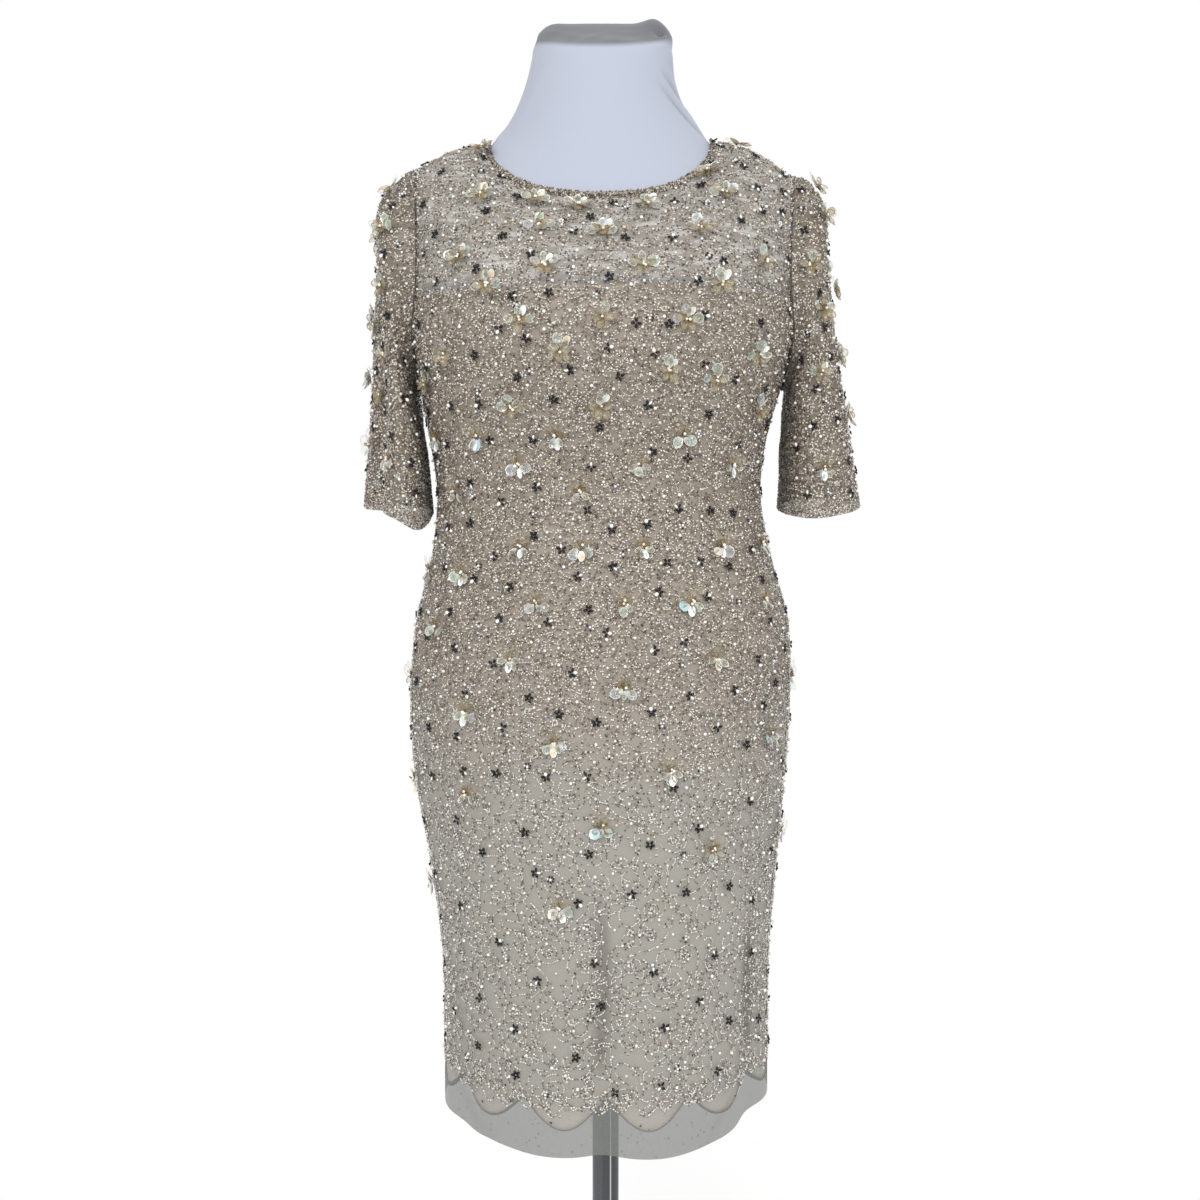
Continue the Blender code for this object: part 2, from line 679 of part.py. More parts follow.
def make_binding():
    """A narrow strip on the neckline's edge, from the centre back round the front."""
    first, last, middle = SHOULDER_COLUMNS, COLUMNS - SHOULDER_COLUMNS, COLUMNS // 2
    angles = neckline_angle(np.linspace(0, 1, COLUMNS + 1))
    order = [("back", i) for i in range(middle, first, -1)]
    order += [("front", i) for i in range(first, last + 1)]
    order += [("back", i) for i in range(last - 1, middle - 1, -1)]
    grids = {"front": (FRONT, FRONT_NORMALS, -1.0), "back": (BACK, BACK_NORMALS, 1.0)}
    edges, normals, upward = [], [], []
    for panel, i in order:
        grid, panel_normals, side = grids[panel]
        edge, normal = grid[i, TOP_ROW], panel_normals[i, TOP_ROW]
        under = edge - normal * straight(FORM_DEPTHS, edge[2], "z", "inside")
        edges.append(edge)
        normals.append(normal)
        upward.append(neck_ring(NECK_RINGS[0], angles[i : i + 1], side)[0] - under)
    edges, normals, upward = np.array(edges), np.array(normals), unit(np.array(upward))
    around = np.gradient(edges, axis=0)
    turned = unit(np.cross(upward, around))
    turned *= np.sign((turned * normals).sum(axis=1, keepdims=True))
    low = edges + upward * BINDING_START
    high = low + upward * BINDING_TALL
    outer = np.stack([low + normals * BINDING_PROUD, high + turned * BINDING_PROUD], axis=1)
    inner = np.stack([low - normals * BINDING_INSIDE, high - turned * BINDING_INSIDE], axis=1)
    gap = np.full(2, BENT_HALF_SEAM)
    add_wall("neck_binding", parted(outer, gap, gap), parted(inner, gap, gap), "binding", step=1)


# ---------------------------------------------------------------------------- sleeves


def armhole_loop(side):
    """The armhole's edge points, their normals and their angles, from the tip round the front."""
    column = 0 if side == "left" else COLUMNS
    front = FRONT[column, UNDERARM_ROW:][::-1]
    back = BACK[column, UNDERARM_ROW:][1:-1]
    points = np.concatenate([front, back])
    normals = np.concatenate(
        [
            FRONT_NORMALS[column, UNDERARM_ROW:][::-1],
            BACK_NORMALS[column, UNDERARM_ROW:][1:-1],
        ]
    )
    count = TOP_ROW - UNDERARM_ROW
    closed = np.concatenate([points, points[:1]])
    lengths = np.linalg.norm(np.diff(closed, axis=0), axis=1)
    angles = np.zeros(2 * count)
    for first, start in ((0, 0.0), (count, math.pi)):
        part = lengths[first : first + count]
        passed = np.concatenate([[0], np.cumsum(part)[:-1]])
        angles[first : first + count] = start + math.pi * passed / part.sum()
    return points, normals, angles


def sleeve_ring(side, s, angles):
    """A ring of the sleeve, s from 0 at the armhole to 1 at the cuff."""
    rungs = RUNGS[side]
    steps = [Step(k / (len(rungs) - 1), *rung) for k, rung in enumerate(rungs)]
    rung = along(steps, s, "s")
    outer = np.array([rung.outer_x, 0.0, rung.outer_z])
    inner = np.array([rung.inner_x, 0.0, rung.inner_z])
    middle, arm = (outer + inner) / 2, (outer - inner) / 2
    cosine, sine = np.cos(angles), np.sin(angles)
    depth = np.where(sine > 0, rung.front, rung.back)
    shrink = np.ones_like(angles)
    for fold in SLEEVE_FOLDS[side]:
        turn = (np.degrees(angles) - fold.angle + 180) % 360 - 180
        fade = smooth_step((s - fold.start) / (1 - fold.start))
        shrink -= fold.depth * fade * np.exp(-((turn / fold.width) ** 2))
    points = middle + arm * (cosine * shrink)[:, None]
    inwards = 1.0 if side == "left" else -1.0
    points[:, 0] += inwards * rung.lean * depth * sine * shrink
    points[:, 1] -= depth * sine * shrink
    dip = CUFF_DIPS[side]
    turn = (np.degrees(angles) - dip.angle) / dip.width
    fall = CUFF_SLOPE[side] * points[:, 1] - dip.depth * np.exp(-(turn**2))
    points[:, 2] += fall * smooth_step(s)
    return points


Step = namedtuple("Step", ("s",) + Rung._fields)


def sleeve_grid(side):
    loop, loop_normals, angles = armhole_loop(side)
    even = np.linspace(0, 2 * math.pi, len(angles), endpoint=False)
    rings = []
    for k in range(1, SLEEVE_ROWS + 1):
        s = k / SLEEVE_ROWS
        spread = angles + (even - angles) * smooth_step(s)
        rings.append(sleeve_ring(side, s, spread))
    start = loop + loop_normals * SLEEVE_LIFT
    start[:, 0] += SLEEVE_OUT if side == "right" else -SLEEVE_OUT
    start = start + unit(rings[0] - start) * SLEEVE_START
    return np.stack([start] + rings, axis=1)


def tube_normals(grid):
    around = np.roll(grid, -1, axis=0) - np.roll(grid, 1, axis=0)
    normals = unit(np.cross(around, np.gradient(grid, axis=1)))
    outward = grid - grid.mean(axis=0, keepdims=True)
    return normals if (normals * outward).sum() > 0 else -normals


def make_sleeve(side):
    grid = sleeve_grid(side)
    normals = tube_normals(grid)
    count = grid.shape[0]

    def sleeve_flower(i, j):
        from_inner_edge = abs((i / count) * 360 - 180)
        return 1 < j < SLEEVE_ROWS - 1 and from_inner_edge > SLEEVE_BARE

    seed = FLOWER_SEED + (2 if side == "left" else 3)
    raised = with_flowers(grid, normals, sleeve_flower, seed)
    inner = layer(grid, normals, CLOTH)
    add_wall("sleeve_" + side, raised, inner, "beaded_net", closed=True)


# ------------------------------------------------------------------ dress form, stand


def neck_ring(ring, angles, side):
    """One side, front or back, of a ring of the form's neck."""
    cosine, sine = -np.cos(angles), np.abs(np.sin(angles))
    half = np.where(cosine > 0, ring.right, ring.left)
    depth, height = (ring.front, ring.front_z) if side < 0 else (ring.back, ring.back_z)
    return np.stack(
        [
            NECK_AXIS[0] + half * cosine,
            NECK_AXIS[1] + side * depth * sine**ring.square,
            ring.side_z + (height - ring.side_z) * (1 - (1 - sine) ** NECK_CURVE),
        ],
        axis=1,
    )


class Skin:
    """Collects points under names, so that faces meet where pieces of the skin share one."""

    def __init__(self):
        self.points, self.index, self.faces = [], {}, []

    def add(self, key, point):
        if key not in self.index:
            self.index[key] = len(self.points)
            self.points.append(point)
        return self.index[key]

    def strip(self, lower, upper):
        """Faces between two closed loops with the same number of points."""
        for k in range(len(lower)):
            a, b = lower[k - 1], lower[k]
            c, d = upper[k], upper[k - 1]
            self.faces += halves(a, b, c, d)

    def fan(self, loop, centre):
        for k in range(len(loop)):
            self.faces.append((loop[k - 1], loop[k], centre))


def form_key(panel, i, j):
    """The same name for a point that front and back share."""
    at_side = i in (0, COLUMNS) and j <= UNDERARM_ROW
    at_shoulder = j == TOP_ROW and (i <= SHOULDER_COLUMNS or i >= COLUMNS - SHOULDER_COLUMNS)
    return ("seam" if at_side or at_shoulder else panel, i, j)


def make_form():
    skin = Skin()
    rows = list(range(FORM_BASE_ROW, TOP_ROW + 1, ROW_STEP))
    grids = {"front": (FRONT, FRONT_NORMALS), "back": (BACK, BACK_NORMALS)}

    def point(panel, i, j):
        grid, normals = grids[panel]
        inside = straight(FORM_DEPTHS, grid[i, j][2], "z", "inside")
        if panel == "back" and abs(i - COLUMNS // 2) <= 1:
            inside += ZIP_ROOM
        place = grid[i, j] - normals[i, j] * inside
        if j == TOP_ROW and SHOULDER_COLUMNS < i < COLUMNS - SHOULDER_COLUMNS:
            axis = np.array([*NECK_AXIS, place[2]])
            place += unit(axis - place) * NECK_ROOM
        return skin.add(form_key(panel, i, j), place)

    for panel in grids:
        for i in range(COLUMNS):
            for j, above in zip(rows, rows[1:]):
                quad = (point(panel, i, j), point(panel, i + 1, j))
                quad += (point(panel, i + 1, above), point(panel, i, above))
                skin.faces += [face for face in halves(*quad) if len(set(face)) == 3]
    base = [point("front", i, FORM_BASE_ROW) for i in range(COLUMNS + 1)]
    base += [point("back", i, FORM_BASE_ROW) for i in range(COLUMNS - 1, 0, -1)]
    skin.fan(base, skin.add("base", (0.0, 0.0, FRONT[0, FORM_BASE_ROW][2])))
    for column, outward in ((0, -1.0), (COLUMNS, 1.0)):
        close_armhole(skin, point, rows, column, outward)
    close_neck(skin, point)
    add_mesh("dress_form", skin.points, skin.faces, "jersey")


def close_armhole(skin, point, rows, column, outward):
    """A rounded end over each armhole of the form."""
    up = [j for j in rows if j >= UNDERARM_ROW]
    loop = [point("front", column, j) for j in up]
    loop += [point("back", column, j) for j in up[-2:0:-1]]
    edge = np.array([skin.points[k] for k in loop])
    centre = edge.mean(axis=0)
    for share in BALL_RINGS:
        ring = centre + (edge - centre) * share
        ring[:, 0] += outward * SHOULDER_BALL * (1 - share * share)
        made = [skin.add(("ball", column, share, k), p) for k, p in enumerate(ring)]
        skin.strip(loop, made)
        loop = made
    tip = centre + np.array([outward * SHOULDER_BALL, 0.0, 0.0])
    skin.fan(loop, skin.add(("ball", column), tip))


def close_neck(skin, point):
    """The neck, from the neckline up to its slanting flat top."""
    first, last = SHOULDER_COLUMNS, COLUMNS - SHOULDER_COLUMNS
    loop = [point("front", i, TOP_ROW) for i in range(first, last + 1)]
    loop += [point("back", i, TOP_ROW) for i in range(last - 1, first, -1)]
    angles = neckline_angle(np.linspace(0, 1, COLUMNS + 1))[first : last + 1]
    for k, ring in enumerate(NECK_RINGS):
        front = neck_ring(ring, angles, -1.0)
        back = neck_ring(ring, angles, 1.0)[-2:0:-1]
        places = np.concatenate([front, back])
        made = [skin.add(("neck", k, n), p) for n, p in enumerate(places)]
        skin.strip(loop, made)
        loop = made
    centre = np.array([skin.points[k] for k in loop]).mean(axis=0)
    skin.fan(loop, skin.add("neck top", centre))


def add_turned(name, profile, material):
    """A solid of revolution about the pole's axis. The profile runs from the top down."""
    mesh = bpy.data.meshes.new(name)
    edges = [(k, k + 1) for k in range(len(profile) - 1)]
    mesh.from_pydata([(radius, 0.0, z) for radius, z in profile], edges, [])
    made = add_object(name, mesh, material)
    screw = made.modifiers.new("turn", "SCREW")
    screw.steps = ROUND_STEPS
    screw.render_steps = ROUND_STEPS
    screw.use_merge_vertices = True
    screw.merge_threshold = 0.0001
    return made


def make_stand():
    form_base = float(FRONT[0, FORM_BASE_ROW][2])
    top = form_base - SEAM
    flange = top - POLE_FLANGE_TALL
    foot = BASE_FLOOR + SEAM
    add_turned(
        "stand_pole",
        [
            (0.0, top),
            (POLE_FLANGE_RADIUS, top),
            (POLE_FLANGE_RADIUS, flange),
            (POLE_RADIUS, flange),
            (POLE_RADIUS, foot),
            (0.0, foot),
        ],
        "steel",
    )
    bore = POLE_RADIUS + SEAM
    add_turned(
        "stand_base",
        [
            (0.0, BASE_FLOOR),
            (bore, BASE_FLOOR),
            (bore, HUB_TOP),
            (HUB_RADIUS - HUB_EDGE, HUB_TOP),
            (HUB_RADIUS, HUB_TOP - HUB_EDGE),
            (HUB_RADIUS, BASE_TALL + HUB_FILLET),
            (HUB_RADIUS + HUB_FILLET, BASE_TALL),
            (BASE_RADIUS - BASE_EDGE, BASE_TALL),
            (BASE_RADIUS - BASE_EDGE * 0.3, BASE_TALL - BASE_EDGE * 0.3),
            (BASE_RADIUS, BASE_TALL - BASE_EDGE),
            (BASE_RADIUS, 0.0),
            (0.0, 0.0),
        ],
        "steel",
    )


# -------------------------------------------------------------------- slider and pull


def slider_frame():
    """A matrix at the cloth's outer face: x across, y out of the cloth, z up along it."""
    middle = COLUMNS // 2
    place = Vector(BACK[middle, SLIDER_ROW])
    normal = Vector(BACK_NORMALS[middle, SLIDER_ROW])
    normal.x = 0.0
    normal.normalize()
    across = Vector((1.0, 0.0, 0.0))
    up = across.cross(normal)
    frame = Matrix((across, normal, up)).transposed().to_4x4()
    frame.translation = place
    return frame


def add_box(work, size, centre):
    made = bmesh.ops.create_cube(work, size=1.0)
    bmesh.ops.scale(work, vec=size, verts=made["verts"])
    bmesh.ops.translate(work, vec=centre, verts=made["verts"])


def add_rod(work, radius, length, centre, segments=ROD_SIDES):
    """A rod along x."""
    made = bmesh.ops.create_cone(
        work,
        cap_ends=True,
        segments=segments,
        radius1=radius,
        radius2=radius,
        depth=length,
        matrix=Matrix.Translation(centre) @ Matrix.Rotation(math.pi / 2, 4, "Y"),
    )
    return made


def shape(name, build, material=None):
    """An object from a bmesh builder. Without a material it is a cutter."""
    mesh = bpy.data.meshes.new(name)
    work = bmesh.new()
    build(work)
    work.to_mesh(mesh)
    work.free()
    if material:
        return add_object(name, mesh, material)
    made = bpy.data.objects.new(name, mesh)
    CUTTERS.objects.link(made)
    made.hide_render = True
    made.display_type = "WIRE"
    return made


def combine(target, operation, other):
    modifier = target.modifiers.new(operation.lower(), "BOOLEAN")
    modifier.operation = operation
    modifier.object = other
    modifier.solver = "EXACT"


def make_slider(frame):
    """The slider's body lies on the seam, with two cheeks that hold the pull's pin."""
    body = shape(
        "zip_slider",
        lambda work: add_box(work, SLIDER_BODY, (0, SLIDER_SEAT + SLIDER_BODY[1] / 2, 0)),
        "nickel",
    )
    body.matrix_world = frame
    cheek_y = SLIDER_SEAT + SLIDER_BODY[1] - CHEEK_SINK + CHEEK[1] / 2
    for sign in (-1, 1):
        cheek = shape(
            f"cheek_{sign}",
            lambda work, sign=sign: add_box(work, CHEEK, (sign * CHEEK_APART / 2, cheek_y, 0)),
        )
        cheek.matrix_world = frame
        combine(body, "UNION", cheek)
    pin = shape("pin", lambda work: add_rod(work, PIN_RADIUS, CHEEK_APART, (0, PIN_OUT, 0)))
    pin.matrix_world = frame
    combine(body, "UNION", pin)


def make_pull(frame):
    """A drop-shaped tab whose eye turns on the slider's pin. Its origin is on the axis."""
    eye_wide = CHEEK_APART - CHEEK[0] - 2 * SEAM
    tab_top, tab_end = -(EYE_HOLE + EYE_RADIUS) / 2, -PULL_LONG
    lean = PIN_OUT - (PULL_THICK / 2 + PULL_CLEAR)

    def tab(work):
        """The tab leans in from the eye until it lies along the cloth."""
        outline = []
        for k in range(PULL_END_STEPS + 1):
            turn = math.pi * k / PULL_END_STEPS
            x = -math.cos(turn) * PULL_WIDE / 2
            outline.append((x, tab_end + PULL_WIDE / 2 - math.sin(turn) * PULL_WIDE / 2))
        outline += [(eye_wide / 2, tab_top), (-eye_wide / 2, tab_top)]
        rows = []
        for out in (PULL_THICK / 2, -PULL_THICK / 2):
            verts = []
            for x, z in outline:
                verts.append(work.verts.new((x, out - lean * smooth_step(-z / PULL_BEND), z)))
            rows.append(verts)
        front = work.faces.new(rows[0])
        back = work.faces.new(rows[1][::-1])
        for k in range(len(outline)):
            nxt = (k + 1) % len(outline)
            work.faces.new((rows[0][nxt], rows[0][k], rows[1][k], rows[1][nxt]))
        bmesh.ops.triangulate(work, faces=[front, back])
        bmesh.ops.recalc_face_normals(work, faces=work.faces)

    pull = shape("zip_pull", tab, "nickel")
    turned = frame @ Matrix.Translation((0, PIN_OUT, 0))
    pull.matrix_world = turned
    eye = shape("eye", lambda work: add_rod(work, EYE_RADIUS, eye_wide, (0, 0, 0), EYE_SIDES))
    hole = shape(
        "eye_hole",
        lambda work: add_rod(work, EYE_HOLE, eye_wide * 2, (0, 0, 0), EYE_SIDES),
    )
    for other, operation in ((eye, "UNION"), (hole, "DIFFERENCE")):
        other.matrix_world = turned
        combine(pull, operation, other)


# ------------------------------------------------------------------------------- make


def start_scene():
    for item in list(bpy.data.objects):
        bpy.data.objects.remove(item, do_unlink=True)
    made = []
    for name in ("cocktail_dress", "cutters"):
        collection = bpy.data.collections.new(name)
        bpy.context.scene.collection.children.link(collection)
        made.append(collection)
    return made


def make_materials():
    made = {}
    for name, (colour, roughness, metallic) in COLOURS.items():
        material = bpy.data.materials.new(name)
        material.use_nodes = True
        shader = material.node_tree.nodes["Principled BSDF"]
        shader.inputs["Base Color"].default_value = colour
        shader.inputs["Roughness"].default_value = roughness
        shader.inputs["Metallic"].default_value = metallic
        material.diffuse_color = colour
        made[name] = material
    return made


PARTS, CUTTERS = start_scene()
MATERIALS = make_materials()

make_front()
make_lining_front()
for back_side in ("left", "right"):
    make_back(back_side)
    make_lining_back(back_side)
    make_sleeve(back_side)
make_zip_tape()
make_binding()
SLIDER_FRAME = slider_frame()
make_slider(SLIDER_FRAME)
make_pull(SLIDER_FRAME)
make_form()
make_stand()
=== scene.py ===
"""Looks of a beaded cocktail dress on a limbless dress form.

Metres, +Z up. The front of the dress faces -Y, and left and right are the viewer's. The
cloth's surfaces are worked out from the same tables as the part's solids, but finer, and
everything that is sewn on the cloth sits on those surfaces.
"""

import math
import random
from collections import namedtuple

import bmesh
import bpy
import numpy as np
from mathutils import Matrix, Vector
from mathutils.kdtree import KDTree


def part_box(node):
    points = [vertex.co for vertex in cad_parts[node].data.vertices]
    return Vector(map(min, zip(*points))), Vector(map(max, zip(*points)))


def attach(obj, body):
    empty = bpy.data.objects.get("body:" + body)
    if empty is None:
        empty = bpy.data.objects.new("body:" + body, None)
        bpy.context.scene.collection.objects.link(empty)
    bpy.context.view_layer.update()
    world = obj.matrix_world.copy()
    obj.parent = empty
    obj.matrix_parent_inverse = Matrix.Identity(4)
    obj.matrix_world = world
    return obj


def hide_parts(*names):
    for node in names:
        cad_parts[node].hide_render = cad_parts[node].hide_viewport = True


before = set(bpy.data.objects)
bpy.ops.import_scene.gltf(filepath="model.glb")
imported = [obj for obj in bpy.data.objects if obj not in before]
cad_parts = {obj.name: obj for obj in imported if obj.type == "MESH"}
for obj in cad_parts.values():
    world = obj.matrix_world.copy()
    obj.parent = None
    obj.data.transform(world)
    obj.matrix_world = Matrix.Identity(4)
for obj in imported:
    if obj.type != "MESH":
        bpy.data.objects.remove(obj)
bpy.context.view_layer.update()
BODY = "dress_and_form"
SIDES = ("left", "right")
FACING = {"front": -1.0, "back": 1.0}    # the way that each panel faces along Y

# ------------------------------------------------------- sizes that the part's source has

HEM_Z = 0.440
UNDERARM_Z = 1.185
CHEST_Z = 1.271
ZIP_END_Z = 0.86
CLOTH = 0.0015
LINING = 0.0010
LAYER_GAP = 0.0006

# Level sections of the body: half widths, depths to front and back, and the superellipse's
# power, which is 2 for an ellipse.
Section = namedtuple("Section", "z left right front back square")
SECTIONS = (
    Section(0.440, 0.171, 0.172, 0.144, 0.130, 2.2),
    Section(0.600, 0.172, 0.172, 0.139, 0.130, 2.2),
    Section(0.695, 0.184, 0.179, 0.137, 0.134, 2.2),
    Section(0.790, 0.199, 0.187, 0.136, 0.141, 2.3),
    Section(0.862, 0.203, 0.191, 0.135, 0.146, 2.3),
    Section(0.946, 0.196, 0.1885, 0.131, 0.134, 2.3),
    Section(1.010, 0.180, 0.171, 0.122, 0.112, 2.3),
    Section(1.075, 0.1735, 0.159, 0.116, 0.098, 2.3),
    Section(1.130, 0.180, 0.164, 0.125, 0.100, 2.3),
    Section(1.185, 0.190, 0.179, 0.141, 0.108, 2.3),
    Section(1.235, 0.198, 0.191, 0.147, 0.114, 2.4),
    Section(1.271, 0.196, 0.190, 0.142, 0.117, 2.4),
)
# How far the hem lies above its mean height, across each panel from its left seam.
HemPoint = namedtuple("HemPoint", "across rise")
HEM_LINE = {
    "front": (
        HemPoint(0.00, 0.001),
        HemPoint(0.13, 0.003),
        HemPoint(0.26, -0.001),
        HemPoint(0.37, -0.0070),
        HemPoint(0.50, -0.0055),
        HemPoint(0.62, -0.0085),
        HemPoint(0.73, 0.000),
        HemPoint(0.87, 0.013),
        HemPoint(1.00, 0.010),
    ),
    "back": (
        HemPoint(0.00, 0.001),
        HemPoint(0.30, -0.003),
        HemPoint(0.50, -0.004),
        HemPoint(0.75, -0.001),
        HemPoint(1.00, 0.010),
    ),
}
ARMHOLE_FRONT = 0.052
ARMHOLE_BACK = 0.056
ARMHOLE_HALF_HEIGHT = 0.100
SHOULDER = {
    "left": {"tip": (-0.193, 0.012, 1.409), "neck": (-0.121, 0.004, 1.432)},
    "right": {"tip": (0.190, 0.012, 1.402), "neck": (0.110, 0.004, 1.435)},
}
SHOULDER_CROWN = {"left": 0.005, "right": 0.007}
NECK_DEPTH = {"front": 0.087, "back": 0.064}
NECK_MID_Z = {"front": 1.3625, "back": 1.414}
NECK_CURVE = 1.15
NECK_SQUARE = 0.62
NECK_RUN = {"front": (0.0, 0.62, 0.78), "back": (0.0, -0.35, 0.94)}
SHOULDER_RUN = {"front": (0.0, 1.0, 0.08), "back": (0.0, -1.0, 0.08)}
YOKE_LOWER_PULL = 0.38
YOKE_UPPER_PULL = 0.34
CHEST_STEP = 0.004
COLUMNS = 24
SHOULDER_COLUMNS = 4
SHOULDER_SHARE = SHOULDER_COLUMNS / COLUMNS
SKIRT_ROWS = 28
CHEST_ROWS = 4
YOKE_ROWS = 8
UNDERARM_ROW = SKIRT_ROWS
CHEST_ROW = SKIRT_ROWS + CHEST_ROWS
TOP_ROW = CHEST_ROW + YOKE_ROWS
ARC_SAMPLES = 241
# Soft troughs of the skirt: place and width as shares of the panel, and the height they reach.
Fold = namedtuple("Fold", "panel across width depth top")
FOLDS = (
    Fold("front", 0.17, 0.045, 0.004, 0.62),
    Fold("front", 0.49, 0.040, 0.007, 0.74),
    Fold("front", 0.83, 0.045, 0.008, 0.70),
    Fold("back", 0.22, 0.050, 0.006, 0.68),
    Fold("back", 0.58, 0.045, 0.007, 0.72),
    Fold("back", 0.80, 0.040, 0.005, 0.64),
)
LINING_FIRST_ROW = 2
SCALLOPS = 6
SCALLOP_DROP = 0.57
SCALLOP_LEAST = 0.08
TAPE_HALF = 0.008
TAPE_CLEARANCE = 0.0005
TAPE_LAP = 0.03
# Rungs of a sleeve from armhole to cuff: its outer and inner edge, its depth to the front and
# back, and how far its front leans towards the body.
Rung = namedtuple("Rung", "outer_x outer_z inner_x inner_z front back lean")
RUNGS = {
    "left": (
        Rung(-0.1950, 1.409, -0.1940, 1.185, 0.053, 0.057, 0.00),
        Rung(-0.2130, 1.393, -0.1945, 1.176, 0.055, 0.058, 0.00),
        Rung(-0.2310, 1.370, -0.1925, 1.166, 0.057, 0.060, 0.00),
        Rung(-0.2335, 1.334, -0.1905, 1.156, 0.059, 0.062, 0.02),
        Rung(-0.2355, 1.290, -0.1890, 1.146, 0.061, 0.064, 0.05),
        Rung(-0.2390, 1.235, -0.1870, 1.134, 0.062, 0.065, 0.10),
        Rung(-0.2420, 1.180, -0.1840, 1.117, 0.062, 0.066, 0.12),
        Rung(-0.2465, 1.120, -0.1815, 1.090, 0.062, 0.066, 0.12),
        Rung(-0.2520, 1.062, -0.1790, 1.058, 0.062, 0.066, 0.10),
    ),
    "right": (
        Rung(0.1920, 1.402, 0.1860, 1.185, 0.053, 0.057, 0.00),
        Rung(0.2100, 1.3905, 0.1870, 1.176, 0.055, 0.058, 0.00),
        Rung(0.2230, 1.366, 0.1855, 1.166, 0.057, 0.060, 0.00),
        Rung(0.2255, 1.330, 0.1835, 1.156, 0.059, 0.062, 0.00),
        Rung(0.2295, 1.286, 0.1830, 1.146, 0.060, 0.064, 0.00),
        Rung(0.2350, 1.232, 0.1825, 1.134, 0.061, 0.065, 0.00),
        Rung(0.2440, 1.178, 0.1805, 1.117, 0.061, 0.066, 0.00),
        Rung(0.2535, 1.120, 0.1805, 1.092, 0.060, 0.066, 0.00),
        Rung(0.2625, 1.066, 0.1785, 1.060, 0.058, 0.064, 0.00),
    ),
}
SLEEVE_ROWS = 14
SLEEVE_START = 0.0006
SLEEVE_LIFT = 0.0008
SLEEVE_OUT = 0.0008
CUFF_SLOPE = {"left": 0.08, "right": 0.14}
# Angles run round a sleeve, in degrees, from its outer edge over the front.
CuffDip = namedtuple("CuffDip", "angle width depth")
CUFF_DIPS = {"left": CuffDip(128, 34, 0.015), "right": CuffDip(95, 50, 0.003)}
SleeveFold = namedtuple("SleeveFold", "angle width depth start")
SLEEVE_FOLDS = {
    "left": (SleeveFold(42, 24, 0.46, 0.30), SleeveFold(-60, 26, 0.10, 0.45)),
    "right": (SleeveFold(75, 24, 0.12, 0.45), SleeveFold(-50, 26, 0.14, 0.40)),
}
FLOWER_SEED = 7
UNDER_SLEEVE_ROWS = 7
UNDER_SLEEVE_COLUMNS = 3
SLEEVE_BARE = 75
Spacing = namedtuple("Spacing", "z apart")
FLOWER_SPACING = (
    Spacing(1.44, 0.040),
    Spacing(1.20, 0.043),
    Spacing(1.05, 0.050),
    Spacing(0.90, 0.060),
    Spacing(0.78, 0.078),
    Spacing(0.66, 0.110),
)
BINDING_TALL = 0.0035
BINDING_START = 0.0011
# How far the form lies inside the panels' outer points.
Depth = namedtuple("Depth", "z inside")
FORM_DEPTHS = (
    Depth(0.76, 0.0065),
    Depth(0.90, 0.0060),
    Depth(1.07, 0.0070),
    Depth(1.20, 0.0050),
    Depth(1.271, 0.0042),
    Depth(1.33, 0.0028),
    Depth(1.40, 0.0026),
    Depth(1.45, 0.0030),
)
NeckRing = namedtuple("NeckRing", "front_z side_z back_z left right front back square")
NECK_AXIS = (-0.006, 0.004)
LOWEST_NECK_RING = NeckRing(1.378, 1.4415, 1.426, 0.1070, 0.1085, 0.078, 0.057, 0.75)
POLE_RADIUS = 0.014
POLE_FLANGE_RADIUS = 0.050
POLE_FLANGE_TALL = 0.008
BASE_RADIUS = 0.200
BASE_TALL = 0.014
BASE_EDGE = 0.005
BASE_FLOOR = 0.006
HUB_RADIUS = 0.026
HUB_TOP = 0.052
HUB_EDGE = 0.002
HUB_FILLET = 0.004
STAND_GAP = 0.0003

# ------------------------------------------------------------------- sizes of the looks

FINER = 8                # fine columns and rows to each one of the part's source
NET_DEPTH = 0.0005       # the net lies this far inside the solid's outer face
LINING_DEPTH = CLOTH + LAYER_GAP + LINING / 2
NET_CELL = 0.0011
PANEL_SPAN = 0.52        # nominal width of a panel, for the creases' slopes
BEAD_EDGE_Z = 0.4865     # mean height of the beading's lower edge

# ---------------------------------------------------------------------------- helpers


def along(rows, where, key):
    """The table's row at this value of its key column, on a smooth curve through the rows."""
    keys = [getattr(row, key) for row in rows]
    where = min(max(where, keys[0]), keys[-1])
    last = len(rows) - 2
    k = min(max(int(np.searchsorted(keys, where, side="right")) - 1, 0), last)
    span = keys[k + 1] - keys[k]
    s = (where - keys[k]) / span
    here, there = np.array(rows[k]), np.array(rows[k + 1])
    before, after = np.array(rows[max(k - 1, 0)]), np.array(rows[min(k + 2, last + 1)])
    slope_here = (there - before) / (keys[k + 1] - keys[max(k - 1, 0)])
    slope_there = (after - here) / (keys[min(k + 2, last + 1)] - keys[k])
    value = (
        (2 * s**3 - 3 * s**2 + 1) * here
        + (s**3 - 2 * s**2 + s) * span * slope_here
        + (3 * s**2 - 2 * s**3) * there
        + (s**3 - s**2) * span * slope_there
    )
    return type(rows[0])(*value)


def straight(rows, where, key, value):
    """A column of a table, in straight steps. The key column may run up or down."""
    pairs = sorted((getattr(row, key), getattr(row, value)) for row in rows)
    return np.interp(where, *zip(*pairs))


def unit(vectors):
    return vectors / np.linalg.norm(vectors, axis=-1, keepdims=True)


def smooth_step(value):
    value = np.clip(value, 0.0, 1.0)
    return value * value * (3 - 2 * value)


def bell(value):
    """1 in the middle, falling off smoothly to both sides."""
    return np.exp(-(value**2))


def run_length(path):
    """How far along a path each of its points lies."""
    return np.concatenate([[0], np.cumsum(np.linalg.norm(np.diff(path, axis=0), axis=1))])


